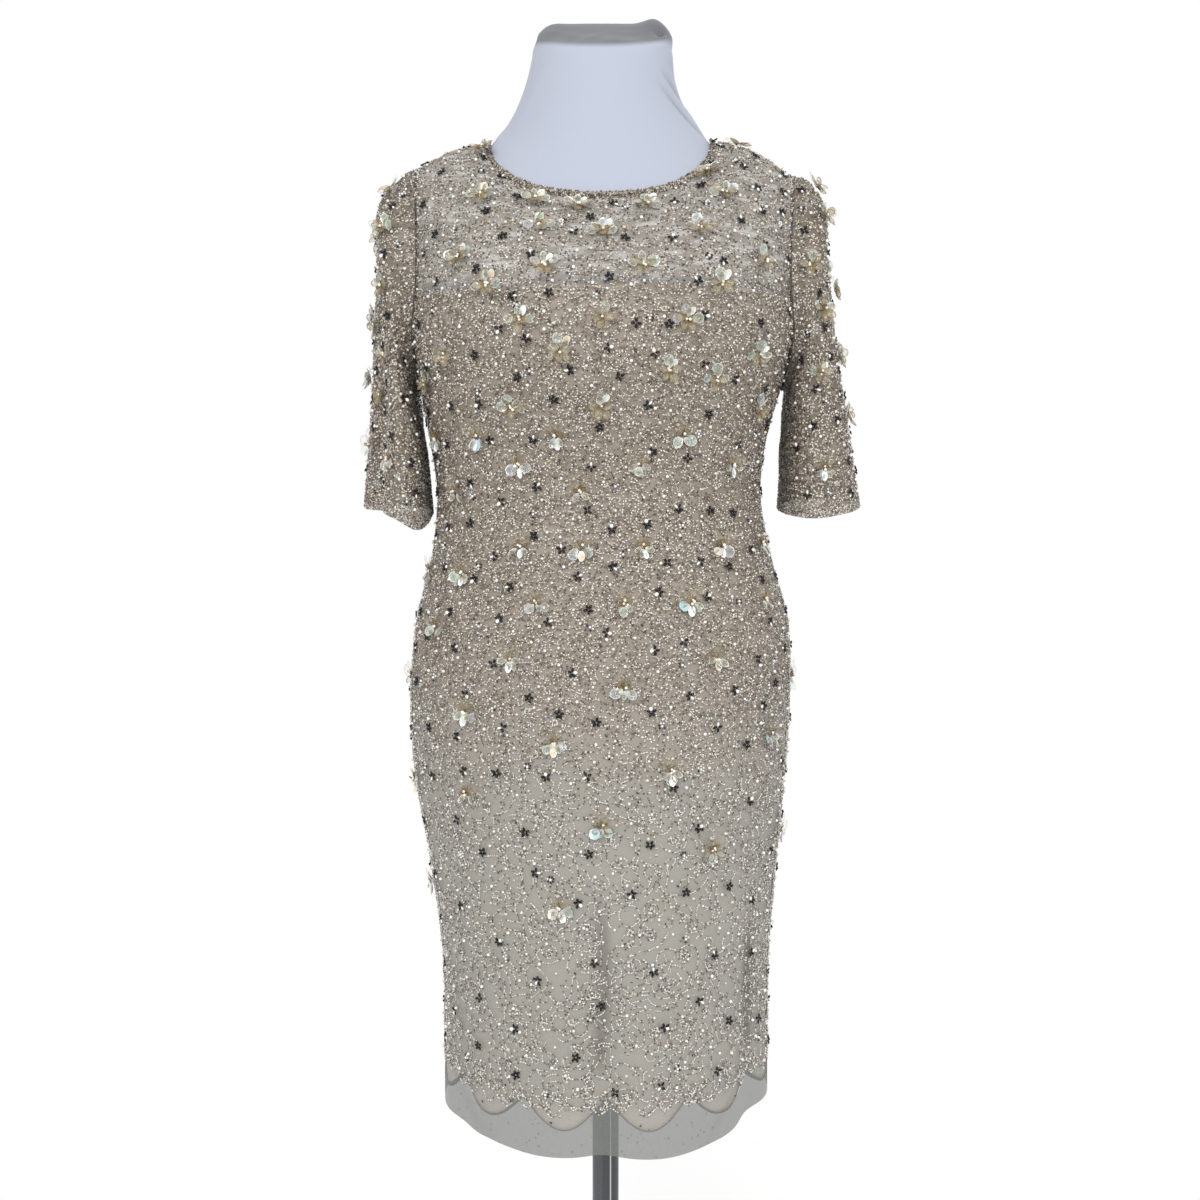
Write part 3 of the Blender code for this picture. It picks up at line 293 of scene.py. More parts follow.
def read_at(where, passed, rows):
    """The rows of an array at these lengths along its path."""
    return np.stack([np.interp(where, passed, rows[:, k]) for k in range(3)], axis=1)


def spline(rows, where):
    """Values between the rows of an array, on Catmull-Rom curves."""
    rows = np.concatenate([2 * rows[:1] - rows[1:2], rows, 2 * rows[-1:] - rows[-2:-1]])
    k = np.clip(where.astype(int), 0, len(rows) - 4)
    s = (where - k).reshape((-1,) + (1,) * (rows.ndim - 1))
    a, b, c, d = (rows[k + n] for n in range(4))
    return b + 0.5 * s * (c - a + s * (2 * a - 5 * b + 4 * c - d + s * (3 * (b - c) + d - a)))


# ----------------------------------------------------------------- the body's surface


def armhole_swing(panel, z):
    """How far the armhole edge has left the side seam at this height, 0 below the underarm."""
    if z <= UNDERARM_Z:
        return 0.0
    widest = ARMHOLE_FRONT if panel == "front" else ARMHOLE_BACK
    share = (UNDERARM_Z + ARMHOLE_HALF_HEIGHT - z) / ARMHOLE_HALF_HEIGHT
    return widest * math.sqrt(max(1 - share * share, 0.0))


def level_row(panel, z, shares):
    """Points at one height, evenly spaced from the left edge of the panel to its right one."""
    row = along(SECTIONS, z, "z")
    depth = row.front if panel == "front" else row.back
    edge = math.asin(min((armhole_swing(panel, z) / depth) ** (row.square / 2), 1.0))
    angle = np.linspace(math.pi - edge, edge, ARC_SAMPLES)
    cosine, sine = np.cos(angle), np.sin(angle)
    power = 2 / row.square
    half = np.where(cosine > 0, row.right, row.left)
    x = half * np.sign(cosine) * np.abs(cosine) ** power
    y = FACING[panel] * depth * np.abs(sine) ** power
    points = np.stack([x, y, np.full_like(angle, z)], axis=1)
    length = run_length(points)
    points = read_at(np.asarray(shares) * length[-1], length, points)
    return points + skirt_folds(panel, z, np.asarray(shares), points, row, depth)


def skirt_folds(panel, z, shares, points, row, depth):
    """Moves for the soft troughs, towards the inside of the section."""
    push = np.zeros(len(shares))
    for fold in FOLDS:
        if fold.panel == panel:
            fade = smooth_step((fold.top - z) / (fold.top - HEM_Z))
            push += fold.depth * fade * bell((shares - fold.across) / fold.width)
    half = np.where(points[:, 0] > 0, row.right, row.left)
    inward = -np.stack([points[:, 0] / half**2, points[:, 1] / depth**2, 0 * half], axis=1)
    return push[:, None] * unit(inward)


def neckline_angle(shares):
    """0 at the left neck point, pi at the right one."""
    return math.pi * np.clip((shares - SHOULDER_SHARE) / (1 - 2 * SHOULDER_SHARE), 0.0, 1.0)


def top_edge(panel, shares):
    """Shoulder line, neckline, shoulder line, and the way that the cloth runs there."""
    angle = neckline_angle(shares)
    sine = np.abs(np.sin(angle))
    neck_left, neck_right = (np.array(SHOULDER[name]["neck"]) for name in SIDES)
    mix = (1 - np.cos(angle)) / 2
    points = neck_left + (neck_right - neck_left) * mix[:, None]
    forward = sine**NECK_SQUARE
    points[:, 1] += FACING[panel] * NECK_DEPTH[panel] * forward
    points[:, 2] += (NECK_MID_Z[panel] - points[:, 2]) * (1 - (1 - sine) ** NECK_CURVE)
    for mask, name, share in (
        (shares < SHOULDER_SHARE, "left", shares / SHOULDER_SHARE),
        (shares > 1 - SHOULDER_SHARE, "right", (1 - shares) / SHOULDER_SHARE),
    ):
        tip, inner = (np.array(SHOULDER[name][end]) for end in ("tip", "neck"))
        line = tip + (inner - tip) * share[:, None]
        line[:, 2] += SHOULDER_CROWN[name] * np.sin(math.pi * np.clip(share, 0, 1))
        points = np.where(mask[:, None], line, points)
    middle, ends = np.array(NECK_RUN[panel]), np.array(SHOULDER_RUN[panel])
    run = unit(ends + (middle - ends) * forward[:, None])
    return points, run


def yoke_rows(panel, steps, shares):
    """Rows above the chest line: each column is a curve up to the neckline or shoulder."""
    chest = level_row(panel, CHEST_Z, shares)
    below = level_row(panel, CHEST_Z - CHEST_STEP, shares)
    rise = unit(chest - below)
    top, run = top_edge(panel, shares)
    reach = np.linalg.norm(top - chest, axis=1, keepdims=True)
    lower = chest + rise * reach * YOKE_LOWER_PULL
    upper = top - run * reach * YOKE_UPPER_PULL
    return [
        (1 - s) ** 3 * chest + 3 * s * (1 - s) ** 2 * lower + 3 * s * s * (1 - s) * upper + s**3 * top
        for s in steps
    ]


ROW_TALL = (UNDERARM_Z - HEM_Z) / SKIRT_ROWS
CHEST_TURN = math.acos(1 - (CHEST_Z - UNDERARM_Z) / ARMHOLE_HALF_HEIGHT)


def level_height(level):
    """The height of a level up to the chest. Levels count the rows of the part's source."""
    if level <= UNDERARM_ROW:
        return HEM_Z + ROW_TALL * level
    turn = CHEST_TURN * (level - UNDERARM_ROW) / CHEST_ROWS
    return UNDERARM_Z + ARMHOLE_HALF_HEIGHT * (1 - math.cos(turn))


def hem_rise(panel, shares):
    return np.array([along(HEM_LINE[panel], share, "across").rise for share in shares])


def panel_grid(panel, shares, levels, risen=False):
    """Outer points of front or back, indexed by column (left to right) and level (upward)."""
    rows = [level_row(panel, level_height(k), shares) for k in levels if k <= CHEST_ROW]
    if risen:
        rows[0][:, 2] += hem_rise(panel, shares)
    steps = [(k - CHEST_ROW) / YOKE_ROWS for k in levels if k > CHEST_ROW]
    return np.stack(rows + yoke_rows(panel, steps, shares), axis=1)


def body_normals(front, back, finer=1, below=0):
    """Outward normals of both grids, the same for both along the seams that they share."""
    seam = (UNDERARM_ROW + below) * finer + 1
    shoulder = SHOULDER_COLUMNS * finer

    def across(grid, other):
        padded = np.concatenate([grid[:1], grid, grid[-1:]])
        padded[0, :seam] = other[1, :seam]
        padded[-1, :seam] = other[-2, :seam]
        return padded[2:] - padded[:-2]

    found = {}
    for name, grid, other, sign in (("front", front, back, 1), ("back", back, front, -1)):
        found[name] = unit(sign * np.cross(across(grid, other), np.gradient(grid, axis=1)))
    for columns in (slice(0, shoulder + 1), slice(front.shape[0] - 1 - shoulder, None)):
        shared = unit(found["front"][columns, -1] + found["back"][columns, -1])
        found["front"][columns, -1] = shared
        found["back"][columns, -1] = shared
    return found["front"], found["back"]


COARSE_SHARES = np.linspace(0, 1, COLUMNS + 1)
COARSE_LEVELS = range(TOP_ROW + 1)
FRONT = panel_grid("front", COARSE_SHARES, COARSE_LEVELS, risen=True)
BACK = panel_grid("back", COARSE_SHARES, COARSE_LEVELS, risen=True)
FRONT_NORMALS, BACK_NORMALS = body_normals(FRONT, BACK)


class Surface:
    """A patch of cloth, sampled finely over u (across) and v (in the source's rows)."""

    def __init__(self, points, normals, first_v, closed=False):
        self.points, self.normals = points, normals
        self.first_v, self.closed = first_v, closed
        columns = points.shape[0] - 1
        self.across = np.gradient(points, axis=0) * columns
        self.upward = np.gradient(points, axis=1) * FINER
        if closed:
            ends = (points[1] - points[-2]) / 2 * columns
            self.across[0] = self.across[-1] = ends

    def sample(self, field, u, v):
        u, v = np.broadcast_arrays(np.asarray(u, float), np.asarray(v, float))
        columns, rows = field.shape[0] - 1, field.shape[1] - 1
        x = (u % 1.0 if self.closed else np.clip(u, 0, 1)) * columns
        y = np.clip((v - self.first_v) * FINER, 0, rows)
        i = np.minimum(x.astype(int), columns - 1)
        j = np.minimum(y.astype(int), rows - 1)
        s, t = (x - i)[..., None], (y - j)[..., None]
        low = field[i, j] * (1 - s) + field[i + 1, j] * s
        high = field[i, j + 1] * (1 - s) + field[i + 1, j + 1] * s
        return low * (1 - t) + high * t

    def at(self, u, v, out=0.0):
        """Points on the cloth, moved out along its normals."""
        out = np.asarray(out)[..., None]
        return self.sample(self.points, u, v) + unit(self.sample(self.normals, u, v)) * out

    def scales(self, u, v):
        """Metres for each unit of u and of v."""
        across = np.linalg.norm(self.sample(self.across, u, v), axis=-1)
        return across, np.linalg.norm(self.sample(self.upward, u, v), axis=-1)

    def heading(self, u, v, angle):
        """Unit vectors along the cloth at this angle from its across direction."""
        across = unit(self.sample(self.across, u, v))
        upward = unit(self.sample(self.upward, u, v))
        angle = np.asarray(angle)[..., None]
        return unit(np.cos(angle) * across + np.sin(angle) * upward)

    def normal(self, u, v):
        return unit(self.sample(self.normals, u, v))


# Main creases: soft ridges, or troughs where the height is negative. u is the share of the
# panel's width from its left seam. Bow is how far the middle of the line is moved sideways.
Crease = namedtuple("Crease", "u0 z0 u1 z1 wide tall bow")
BODY_CREASES = {
    "front": (
        # from the bust towards the underarm
        Crease(0.045, 1.172, 0.235, 1.222, 0.007, -0.0016, 0.006),
        Crease(0.060, 1.145, 0.210, 1.178, 0.006, -0.0010, 0.003),
        Crease(0.955, 1.168, 0.790, 1.226, 0.007, -0.0017, -0.005),
        Crease(0.940, 1.138, 0.820, 1.172, 0.006, -0.0011, -0.003),
        # across the bust and under it
        Crease(0.300, 1.262, 0.520, 1.255, 0.006, -0.0009, 0.002),
        Crease(0.520, 1.243, 0.730, 1.256, 0.006, -0.0008, -0.003),
        Crease(0.280, 1.138, 0.440, 1.122, 0.008, -0.0012, 0.004),
        Crease(0.560, 1.124, 0.720, 1.140, 0.008, -0.0012, -0.004),
        # drag lines at the waist
        Crease(0.050, 1.085, 0.250, 1.068, 0.007, -0.0016, 0.003),
        Crease(0.070, 1.058, 0.330, 1.050, 0.008, -0.0014, -0.003),
        Crease(0.100, 1.032, 0.230, 1.036, 0.007, -0.0011, 0.002),
        Crease(0.950, 1.088, 0.760, 1.066, 0.007, -0.0015, -0.004),
        Crease(0.930, 1.057, 0.690, 1.047, 0.008, -0.0015, 0.003),
        Crease(0.900, 1.028, 0.800, 1.033, 0.006, -0.0010, 0.002),
        Crease(0.400, 1.046, 0.600, 1.040, 0.009, -0.0010, 0.003),
        # from the hips towards the middle
        Crease(0.060, 0.930, 0.250, 0.880, 0.010, -0.0014, -0.004),
        Crease(0.940, 0.925, 0.770, 0.872, 0.010, -0.0014, 0.004),
        # upright troughs in the skirt
        Crease(0.330, 0.470, 0.345, 0.640, 0.011, -0.0024, 0.004),
        Crease(0.660, 0.455, 0.640, 0.600, 0.012, -0.0026, -0.003),
        Crease(0.250, 0.560, 0.265, 0.700, 0.010, -0.0014, 0.003),
        Crease(0.735, 0.540, 0.720, 0.720, 0.010, -0.0016, 0.004),
        Crease(0.420, 0.520, 0.430, 0.660, 0.009, 0.0012, 0.002),
        Crease(0.570, 0.500, 0.560, 0.690, 0.009, 0.0014, -0.002),
        # slanting soft lines of the net's border
        Crease(0.140, 0.484, 0.275, 0.438, 0.006, -0.0022, 0.003),
        Crease(0.700, 0.436, 0.800, 0.492, 0.007, -0.0020, -0.003),
        # ripples of the yoke
        Crease(0.220, 1.318, 0.420, 1.309, 0.0035, 0.0010, 0.003),
        Crease(0.380, 1.331, 0.620, 1.336, 0.0040, -0.0009, -0.003),
        Crease(0.500, 1.302, 0.760, 1.310, 0.0035, 0.0010, -0.002),
        Crease(0.160, 1.292, 0.360, 1.286, 0.0040, -0.0009, 0.002),
        Crease(0.640, 1.292, 0.850, 1.287, 0.0040, -0.0010, 0.003),
        Crease(0.330, 1.283, 0.590, 1.289, 0.0040, 0.0008, 0.002),
    ),
    "back": (
        Crease(0.050, 1.176, 0.240, 1.215, 0.008, -0.0014, 0.004),
        Crease(0.945, 1.180, 0.780, 1.210, 0.008, -0.0015, -0.005),
        Crease(0.060, 1.092, 0.300, 1.075, 0.008, -0.0018, 0.004),
        Crease(0.080, 1.062, 0.400, 1.054, 0.009, -0.0018, -0.003),
        Crease(0.120, 1.030, 0.330, 1.036, 0.008, -0.0013, 0.002),
        Crease(0.940, 1.090, 0.700, 1.078, 0.008, -0.0017, -0.004),
        Crease(0.920, 1.058, 0.620, 1.048, 0.009, -0.0019, 0.003),
        Crease(0.880, 1.026, 0.700, 1.032, 0.007, -0.0012, 0.002),
        Crease(0.080, 0.900, 0.260, 0.855, 0.010, -0.0014, -0.003),
        Crease(0.920, 0.896, 0.740, 0.850, 0.010, -0.0014, 0.003),
        Crease(0.340, 0.460, 0.360, 0.640, 0.011, -0.0024, -0.003),
        Crease(0.690, 0.455, 0.680, 0.620, 0.012, -0.0022, 0.004),
        Crease(0.450, 0.480, 0.455, 0.620, 0.010, 0.0014, 0.002),
        Crease(0.900, 0.450, 0.880, 0.560, 0.010, -0.0016, 0.002),
        Crease(0.100, 0.450, 0.120, 0.570, 0.010, -0.0015, 0.002),
        Crease(0.180, 1.330, 0.400, 1.338, 0.0050, -0.0010, 0.003),
        Crease(0.600, 1.340, 0.830, 1.331, 0.0050, -0.0010, -0.002),
    ),
}
# On a sleeve u runs round it from the outer edge over the front, and z is the height.
SLEEVE_CREASES = {
    "left": (
        Crease(0.060, 1.335, 0.075, 1.150, 0.005, -0.0020, 0.003),
        Crease(0.160, 1.280, 0.170, 1.090, 0.006, -0.0018, -0.003),
        Crease(0.250, 1.240, 0.240, 1.080, 0.006, 0.0016, 0.003),
        Crease(0.330, 1.260, 0.310, 1.120, 0.006, -0.0022, 0.002),
        Crease(0.020, 1.230, 0.010, 1.090, 0.006, -0.0014, 0.002),
        Crease(0.700, 1.290, 0.690, 1.110, 0.007, -0.0020, 0.003),
        Crease(0.830, 1.270, 0.845, 1.100, 0.007, -0.0018, -0.003),
        Crease(0.930, 1.330, 0.920, 1.160, 0.006, -0.0014, 0.002),
    ),
    "right": (
        Crease(0.070, 1.330, 0.085, 1.140, 0.005, -0.0018, 0.002),
        Crease(0.150, 1.260, 0.140, 1.090, 0.006, 0.0014, 0.003),
        Crease(0.220, 1.290, 0.235, 1.110, 0.006, -0.0020, -0.003),
        Crease(0.320, 1.250, 0.330, 1.110, 0.006, -0.0016, 0.002),
        Crease(0.700, 1.280, 0.710, 1.100, 0.007, -0.0020, 0.003),
        Crease(0.820, 1.290, 0.810, 1.120, 0.007, -0.0016, 0.003),
        Crease(0.940, 1.310, 0.950, 1.130, 0.006, -0.0015, -0.002),
    ),
}


def along_crease(crease, x, z, span):
    """How far along a crease each place is, from 0 to 1, and how far beside its bowed line."""
    run_x, run_z = (crease.u1 - crease.u0) * span, crease.z1 - crease.z0
    length = math.hypot(run_x, run_z)
    from_x, from_z = x - crease.u0 * span, z - crease.z0
    passed = np.clip((from_x * run_x + from_z * run_z) / length**2, 0, 1)
    aside = (from_x * run_z - from_z * run_x) / length
    return passed, aside - crease.bow * (1 - (2 * passed - 1) ** 2)


def creased(points, normals, creases, span):
    """The points moved along their normals by the creases."""
    x = np.linspace(0, 1, points.shape[0])[:, None] * span
    z = points[..., 2]
    push = np.zeros_like(z)
    for crease in creases:
        passed, aside = along_crease(crease, x, z, span)
        push += crease.tall * np.sin(math.pi * passed) ** 0.8 * bell(aside / crease.wide)
    return points + normals * push[..., None]


def body_surfaces():
    """Fine surfaces of front and back, from one row below the hem's mean height upward."""
    below = 1
    shares = np.linspace(0, 1, COLUMNS * FINER + 1)
    levels = np.arange(-below * FINER, TOP_ROW * FINER + 1) / FINER
    grids = {panel: panel_grid(panel, shares, levels) for panel in ("front", "back")}
    normals = dict(zip(grids, body_normals(grids["front"], grids["back"], FINER, below)))
    for panel in grids:
        creases = BODY_CREASES[panel]
        grids[panel] = creased(grids[panel], normals[panel], creases, PANEL_SPAN)
    normals = dict(zip(grids, body_normals(grids["front"], grids["back"], FINER, below)))
    return {panel: Surface(grids[panel], normals[panel], -below) for panel in grids}


# ---------------------------------------------------------------------------- sleeves


def armhole_loop(side):
    """The armhole's edge points, their normals and their angles, from the tip round the front."""
    column = 0 if side == "left" else COLUMNS
    parts = ((FRONT, BACK), (FRONT_NORMALS, BACK_NORMALS))
    points, normals = (
        np.concatenate([a[column, UNDERARM_ROW:][::-1], b[column, UNDERARM_ROW:][1:-1]])
        for a, b in parts
    )
    count = TOP_ROW - UNDERARM_ROW
    closed = np.concatenate([points, points[:1]])
    lengths = np.linalg.norm(np.diff(closed, axis=0), axis=1)
    angles = np.zeros(2 * count)
    for first, start in ((0, 0.0), (count, math.pi)):
        part = lengths[first : first + count]
        passed = np.concatenate([[0], np.cumsum(part)[:-1]])
        angles[first : first + count] = start + math.pi * passed / part.sum()
    return points, normals, angles


Step = namedtuple("Step", ("s",) + Rung._fields)


def sleeve_ring(side, s, angles):
    """A ring of the sleeve, s from 0 at the armhole to 1 at the cuff."""
    rungs = RUNGS[side]
    steps = [Step(k / (len(rungs) - 1), *rung) for k, rung in enumerate(rungs)]
    rung = along(steps, s, "s")
    outer = np.array([rung.outer_x, 0.0, rung.outer_z])
    inner = np.array([rung.inner_x, 0.0, rung.inner_z])
    middle, arm = (outer + inner) / 2, (outer - inner) / 2
    cosine, sine = np.cos(angles), np.sin(angles)
    depth = np.where(sine > 0, rung.front, rung.back)
    shrink = np.ones_like(angles)
    for fold in SLEEVE_FOLDS[side]:
        turn = (np.degrees(angles) - fold.angle + 180) % 360 - 180
        fade = smooth_step((s - fold.start) / (1 - fold.start))
        shrink -= fold.depth * fade * bell(turn / fold.width)
    points = middle + arm * (cosine * shrink)[:, None]
    inwards = 1.0 if side == "left" else -1.0
    points[:, 0] += inwards * rung.lean * depth * sine * shrink
    points[:, 1] -= depth * sine * shrink
    dip = CUFF_DIPS[side]
    turn = (np.degrees(angles) - dip.angle) / dip.width
    fall = CUFF_SLOPE[side] * points[:, 1] - dip.depth * bell(turn)
    points[:, 2] += fall * smooth_step(s)
    return points


def sleeve_grid(side):
    loop, loop_normals, angles = armhole_loop(side)
    even = np.linspace(0, 2 * math.pi, len(angles), endpoint=False)
    rings = []
    for k in range(1, SLEEVE_ROWS + 1):
        s = k / SLEEVE_ROWS
        spread = angles + (even - angles) * smooth_step(s)
        rings.append(sleeve_ring(side, s, spread))
    start = loop + loop_normals * SLEEVE_LIFT
    start[:, 0] += SLEEVE_OUT if side == "right" else -SLEEVE_OUT
    start = start + unit(rings[0] - start) * SLEEVE_START
    return np.stack([start] + rings, axis=1)


def tube_normals(grid):
    """Outward normals of a tube whose last column repeats the first."""
    ring = grid[:-1]
    around = np.roll(ring, -1, axis=0) - np.roll(ring, 1, axis=0)
    normals = unit(np.cross(around, np.gradient(ring, axis=1)))
    outward = ring - ring.mean(axis=0, keepdims=True)
    if (normals * outward).sum() < 0:
        normals = -normals
    return np.concatenate([normals, normals[:1]])


def sleeve_surface(side):
    """The source's sleeve, on smooth curves through its points."""
    coarse = sleeve_grid(side)
    count = len(coarse)
    wrapped = np.concatenate([coarse[-3:], coarse, coarse[:4]])
    fine = spline(wrapped, 3 + np.arange(count * FINER + 1) / FINER)
    rows = spline(fine.swapaxes(0, 1), np.arange(SLEEVE_ROWS * FINER + 1) / FINER)
    fine = rows.swapaxes(0, 1)
    girth = np.linalg.norm(np.diff(fine, axis=0), axis=2).sum(axis=0).mean()
    fine = creased(fine, tube_normals(fine), SLEEVE_CREASES[side], girth)
    return Surface(fine, tube_normals(fine), 0, closed=True)


SURFACES = body_surfaces()
SURFACES.update(("sleeve_" + side, sleeve_surface(side)) for side in SIDES)

# -------------------------------------------------------------------------- materials

# Zones of the cloth from the hem up. Blend is half the height of the change at its top, beads
# is the share of the tiny beads that are there, and wisps how plain the pale streaks are.
NetZone = namedtuple("NetZone", "top blend colour cover beads wisps")
PANEL_NET = (
    NetZone(0.860, 0.160, (0.27, 0.245, 0.20), 0.20, 0.10, 0.0),
    NetZone(1.271, 0.014, (0.20, 0.165, 0.125), 0.24, 0.72, 0.25),
    NetZone(2.0, 0.0, (0.320, 0.288, 0.245), 0.72, 0.74, 1.0),
)
SLEEVE_NET = (NetZone(2.0, 0.0, (0.165, 0.135, 0.102), 0.86, 0.90, 0.25),)
# The net of the open border, where it lies double, greyer and denser with painted shade from inside the
# dress.
OPEN_NET_AND_SHADE = (0.163, 0.169, 0.160)
OPEN_COVER = 0.77
WISP = (0.57, 0.55, 0.525)
TINY_BEAD = 0.0030
TINY_DARK = (0.028, 0.020, 0.014)
TINY_TAUPE = (0.27, 0.22, 0.16)
TINY_CREAM = (0.72, 0.67, 0.57)
TINY_SHADE = (0.035, 0.026, 0.018)
ClothZone = namedtuple("ClothZone", "top blend colour")
LINING_ZONES = (
    # the lowest zone is painted lighter, against the shadow that the net casts on the scallops
    ClothZone(0.480, 0.014, (0.48, 0.455, 0.42)),
    ClothZone(0.860, 0.160, (0.425, 0.41, 0.375)),
    ClothZone(2.0, 0.0, (0.40, 0.345, 0.295)),
)
JERSEY = (0.405, 0.44, 0.524)
# painted shade of the jersey, on the neck's top and in its folds
JERSEY_SHADE = (0.118, 0.123, 0.140)
TOP_HALF_WIDE = 0.055    # half the width of the neck's top
TOP_SHADE_Z = 1.516      # middle of the painted shade's lower edge on the neck's top, and how far its ends rise
TOP_ARC = 0.009
TROUGH_PAINTED_SHADE = 0.6
POLE_STEEL = (0.095, 0.10, 0.105)
POLE_LIT_RING = (0.155, 0.16, 0.165)
POLE_HIGHLIGHT = (0.62, 0.63, 0.63)
RING_PITCH = 0.0022      # of the pole's fine rings
BRUSHED = (1.0, 1.0, 12.0)
LINED_EDGE = (0.514, 0.522)
SEAM_AND_SHADE_COVER = 0.96
SEAM_AND_SHADE_TONE = 0.32
COIL_COLOUR = (0.42, 0.36, 0.29)


class Nodes:
    """A material with one Principled shader, and a short way to add nodes to it."""

    def __init__(self, name, colour, roughness, **sockets):
        self.material = bpy.data.materials.new(name)
        self.material.use_nodes = True
        self.tree = self.material.node_tree
        self.shader = self.tree.nodes["Principled BSDF"]
        self.set(self.shader, {"Base Color": (*colour, 1.0), "Roughness": roughness})
        for key, value in sockets.items():
            self.shade(key.replace("_", " "), value)

    def set(self, node, inputs):
        for key, value in inputs.items():
            if isinstance(value, bpy.types.NodeSocket):
                self.tree.links.new(value, node.inputs[key])
            else:
                node.inputs[key].default_value = value

    def shade(self, socket, value):
        """Sets or links one of the shader's sockets."""
        self.set(self.shader, {socket: value})

    def add(self, kind, inputs=None, **settings):
        node = self.tree.nodes.new("ShaderNode" + kind)
        for key, value in settings.items():
            setattr(node, key, value)
        self.set(node, inputs or {})
        return node

    def place(self):
        return self.add("TexCoord").outputs["Object"]

    def axes(self):
        return self.add("SeparateXYZ", {"Vector": self.place()}).outputs

    def marks(self):
        """What the mesh marks in red, green and blue."""
        tint = self.add("Attribute", attribute_name="tint").outputs["Color"]
        return self.add("SeparateColor", {"Color": tint}).outputs

    def ramp(self, value, low, high, to_low=0.0, to_high=1.0, smooth=False):
        inputs = {"Value": value, "From Min": low, "From Max": high, "To Min": to_low, "To Max": to_high}
        kind = "SMOOTHSTEP" if smooth else "LINEAR"
        return self.add("MapRange", inputs, interpolation_type=kind).outputs["Result"]

    def maths(self, operation, a, b=0.0):
        return self.add("Math", {0: a, 1: b}, operation=operation).outputs["Value"]

    def vectors(self, operation, a, b, second=1):
        return self.add("VectorMath", {0: a, second: b}, operation=operation).outputs[0]

    def mix(self, share, a, b):
        node = self.add("Mix", data_type="RGBA")
        for index, value in ((0, share), (6, a), (7, b)):
            self.set(node, {index: value if not isinstance(value, tuple) else (*value, 1.0)})
        return node.outputs[2]

    def noise(self, size, detail=2.0, stretch=None):
        """Noise with features of this size. A stretch scales the place first."""
        place = self.place()
        if stretch:
            place = self.add("Mapping", {"Vector": place, "Scale": stretch}).outputs["Vector"]
        inputs = {"Vector": place, "Scale": 1 / size, "Detail": detail}
        return self.add("TexNoise", inputs).outputs["Fac"]

    def bump(self, height, distance, strength=1.0):
        inputs = {"Height": height, "Distance": distance, "Strength": strength}
        self.shade("Normal", self.add("Bump", inputs).outputs["Normal"])


def by_height(made, height, zones, field):
    """A colour or number that goes from zone to zone with the height."""
    value = getattr(zones[0], field)
    for below, zone in zip(zones, zones[1:]):
        share = made.ramp(height, below.top - below.blend, below.top + below.blend, smooth=True)
        target = getattr(zone, field)
        if isinstance(target, tuple):
            value = made.mix(share, value, target)
        else:
            rise = made.ramp(share, 0.0, 1.0, 0.0, target - getattr(below, field))
            value = made.maths("ADD", value, rise)
    return value


def tiny_beads(made, height, zones):
    """The smallest beads, one to a cell: where they are, from 0 to 1, and their colour, with
    painted shade on the lower side."""
    warp = made.add("TexNoise", {"Vector": made.place(), "Scale": 1 / TINY_BEAD, "Detail": 1.0})
    moved = made.vectors("ADD", warp.outputs["Color"], (-0.5, -0.5, -0.5))
    moved = made.vectors("SCALE", moved, TINY_BEAD * 0.9, second=3)
    place = made.vectors("ADD", made.place(), moved)
    cell = made.add("TexVoronoi", {"Vector": place, "Scale": 1 / TINY_BEAD})
    draw = made.add("SeparateColor", {"Color": cell.outputs["Color"]}).outputs
    bead = made.ramp(cell.outputs["Distance"], 0.30, 0.44, 1.0, 0.0, smooth=True)
    share = made.maths("SUBTRACT", by_height(made, height, zones, "beads"), draw["Red"])
    bead = made.maths("MULTIPLY", bead, made.ramp(share, 0.0, 0.02))
    core = made.mix(made.ramp(draw["Green"], 0.22, 0.26), TINY_DARK, TINY_TAUPE)
    core = made.mix(made.ramp(draw["Green"], 0.46, 0.50), core, TINY_CREAM)
    above = made.vectors("SUBTRACT", place, cell.outputs["Position"])
    above = made.add("SeparateXYZ", {"Vector": above}).outputs["Z"]
    lit = made.ramp(above, -0.26 * TINY_BEAD, 0.02 * TINY_BEAD, smooth=True)
    return bead, made.mix(lit, TINY_SHADE, core)


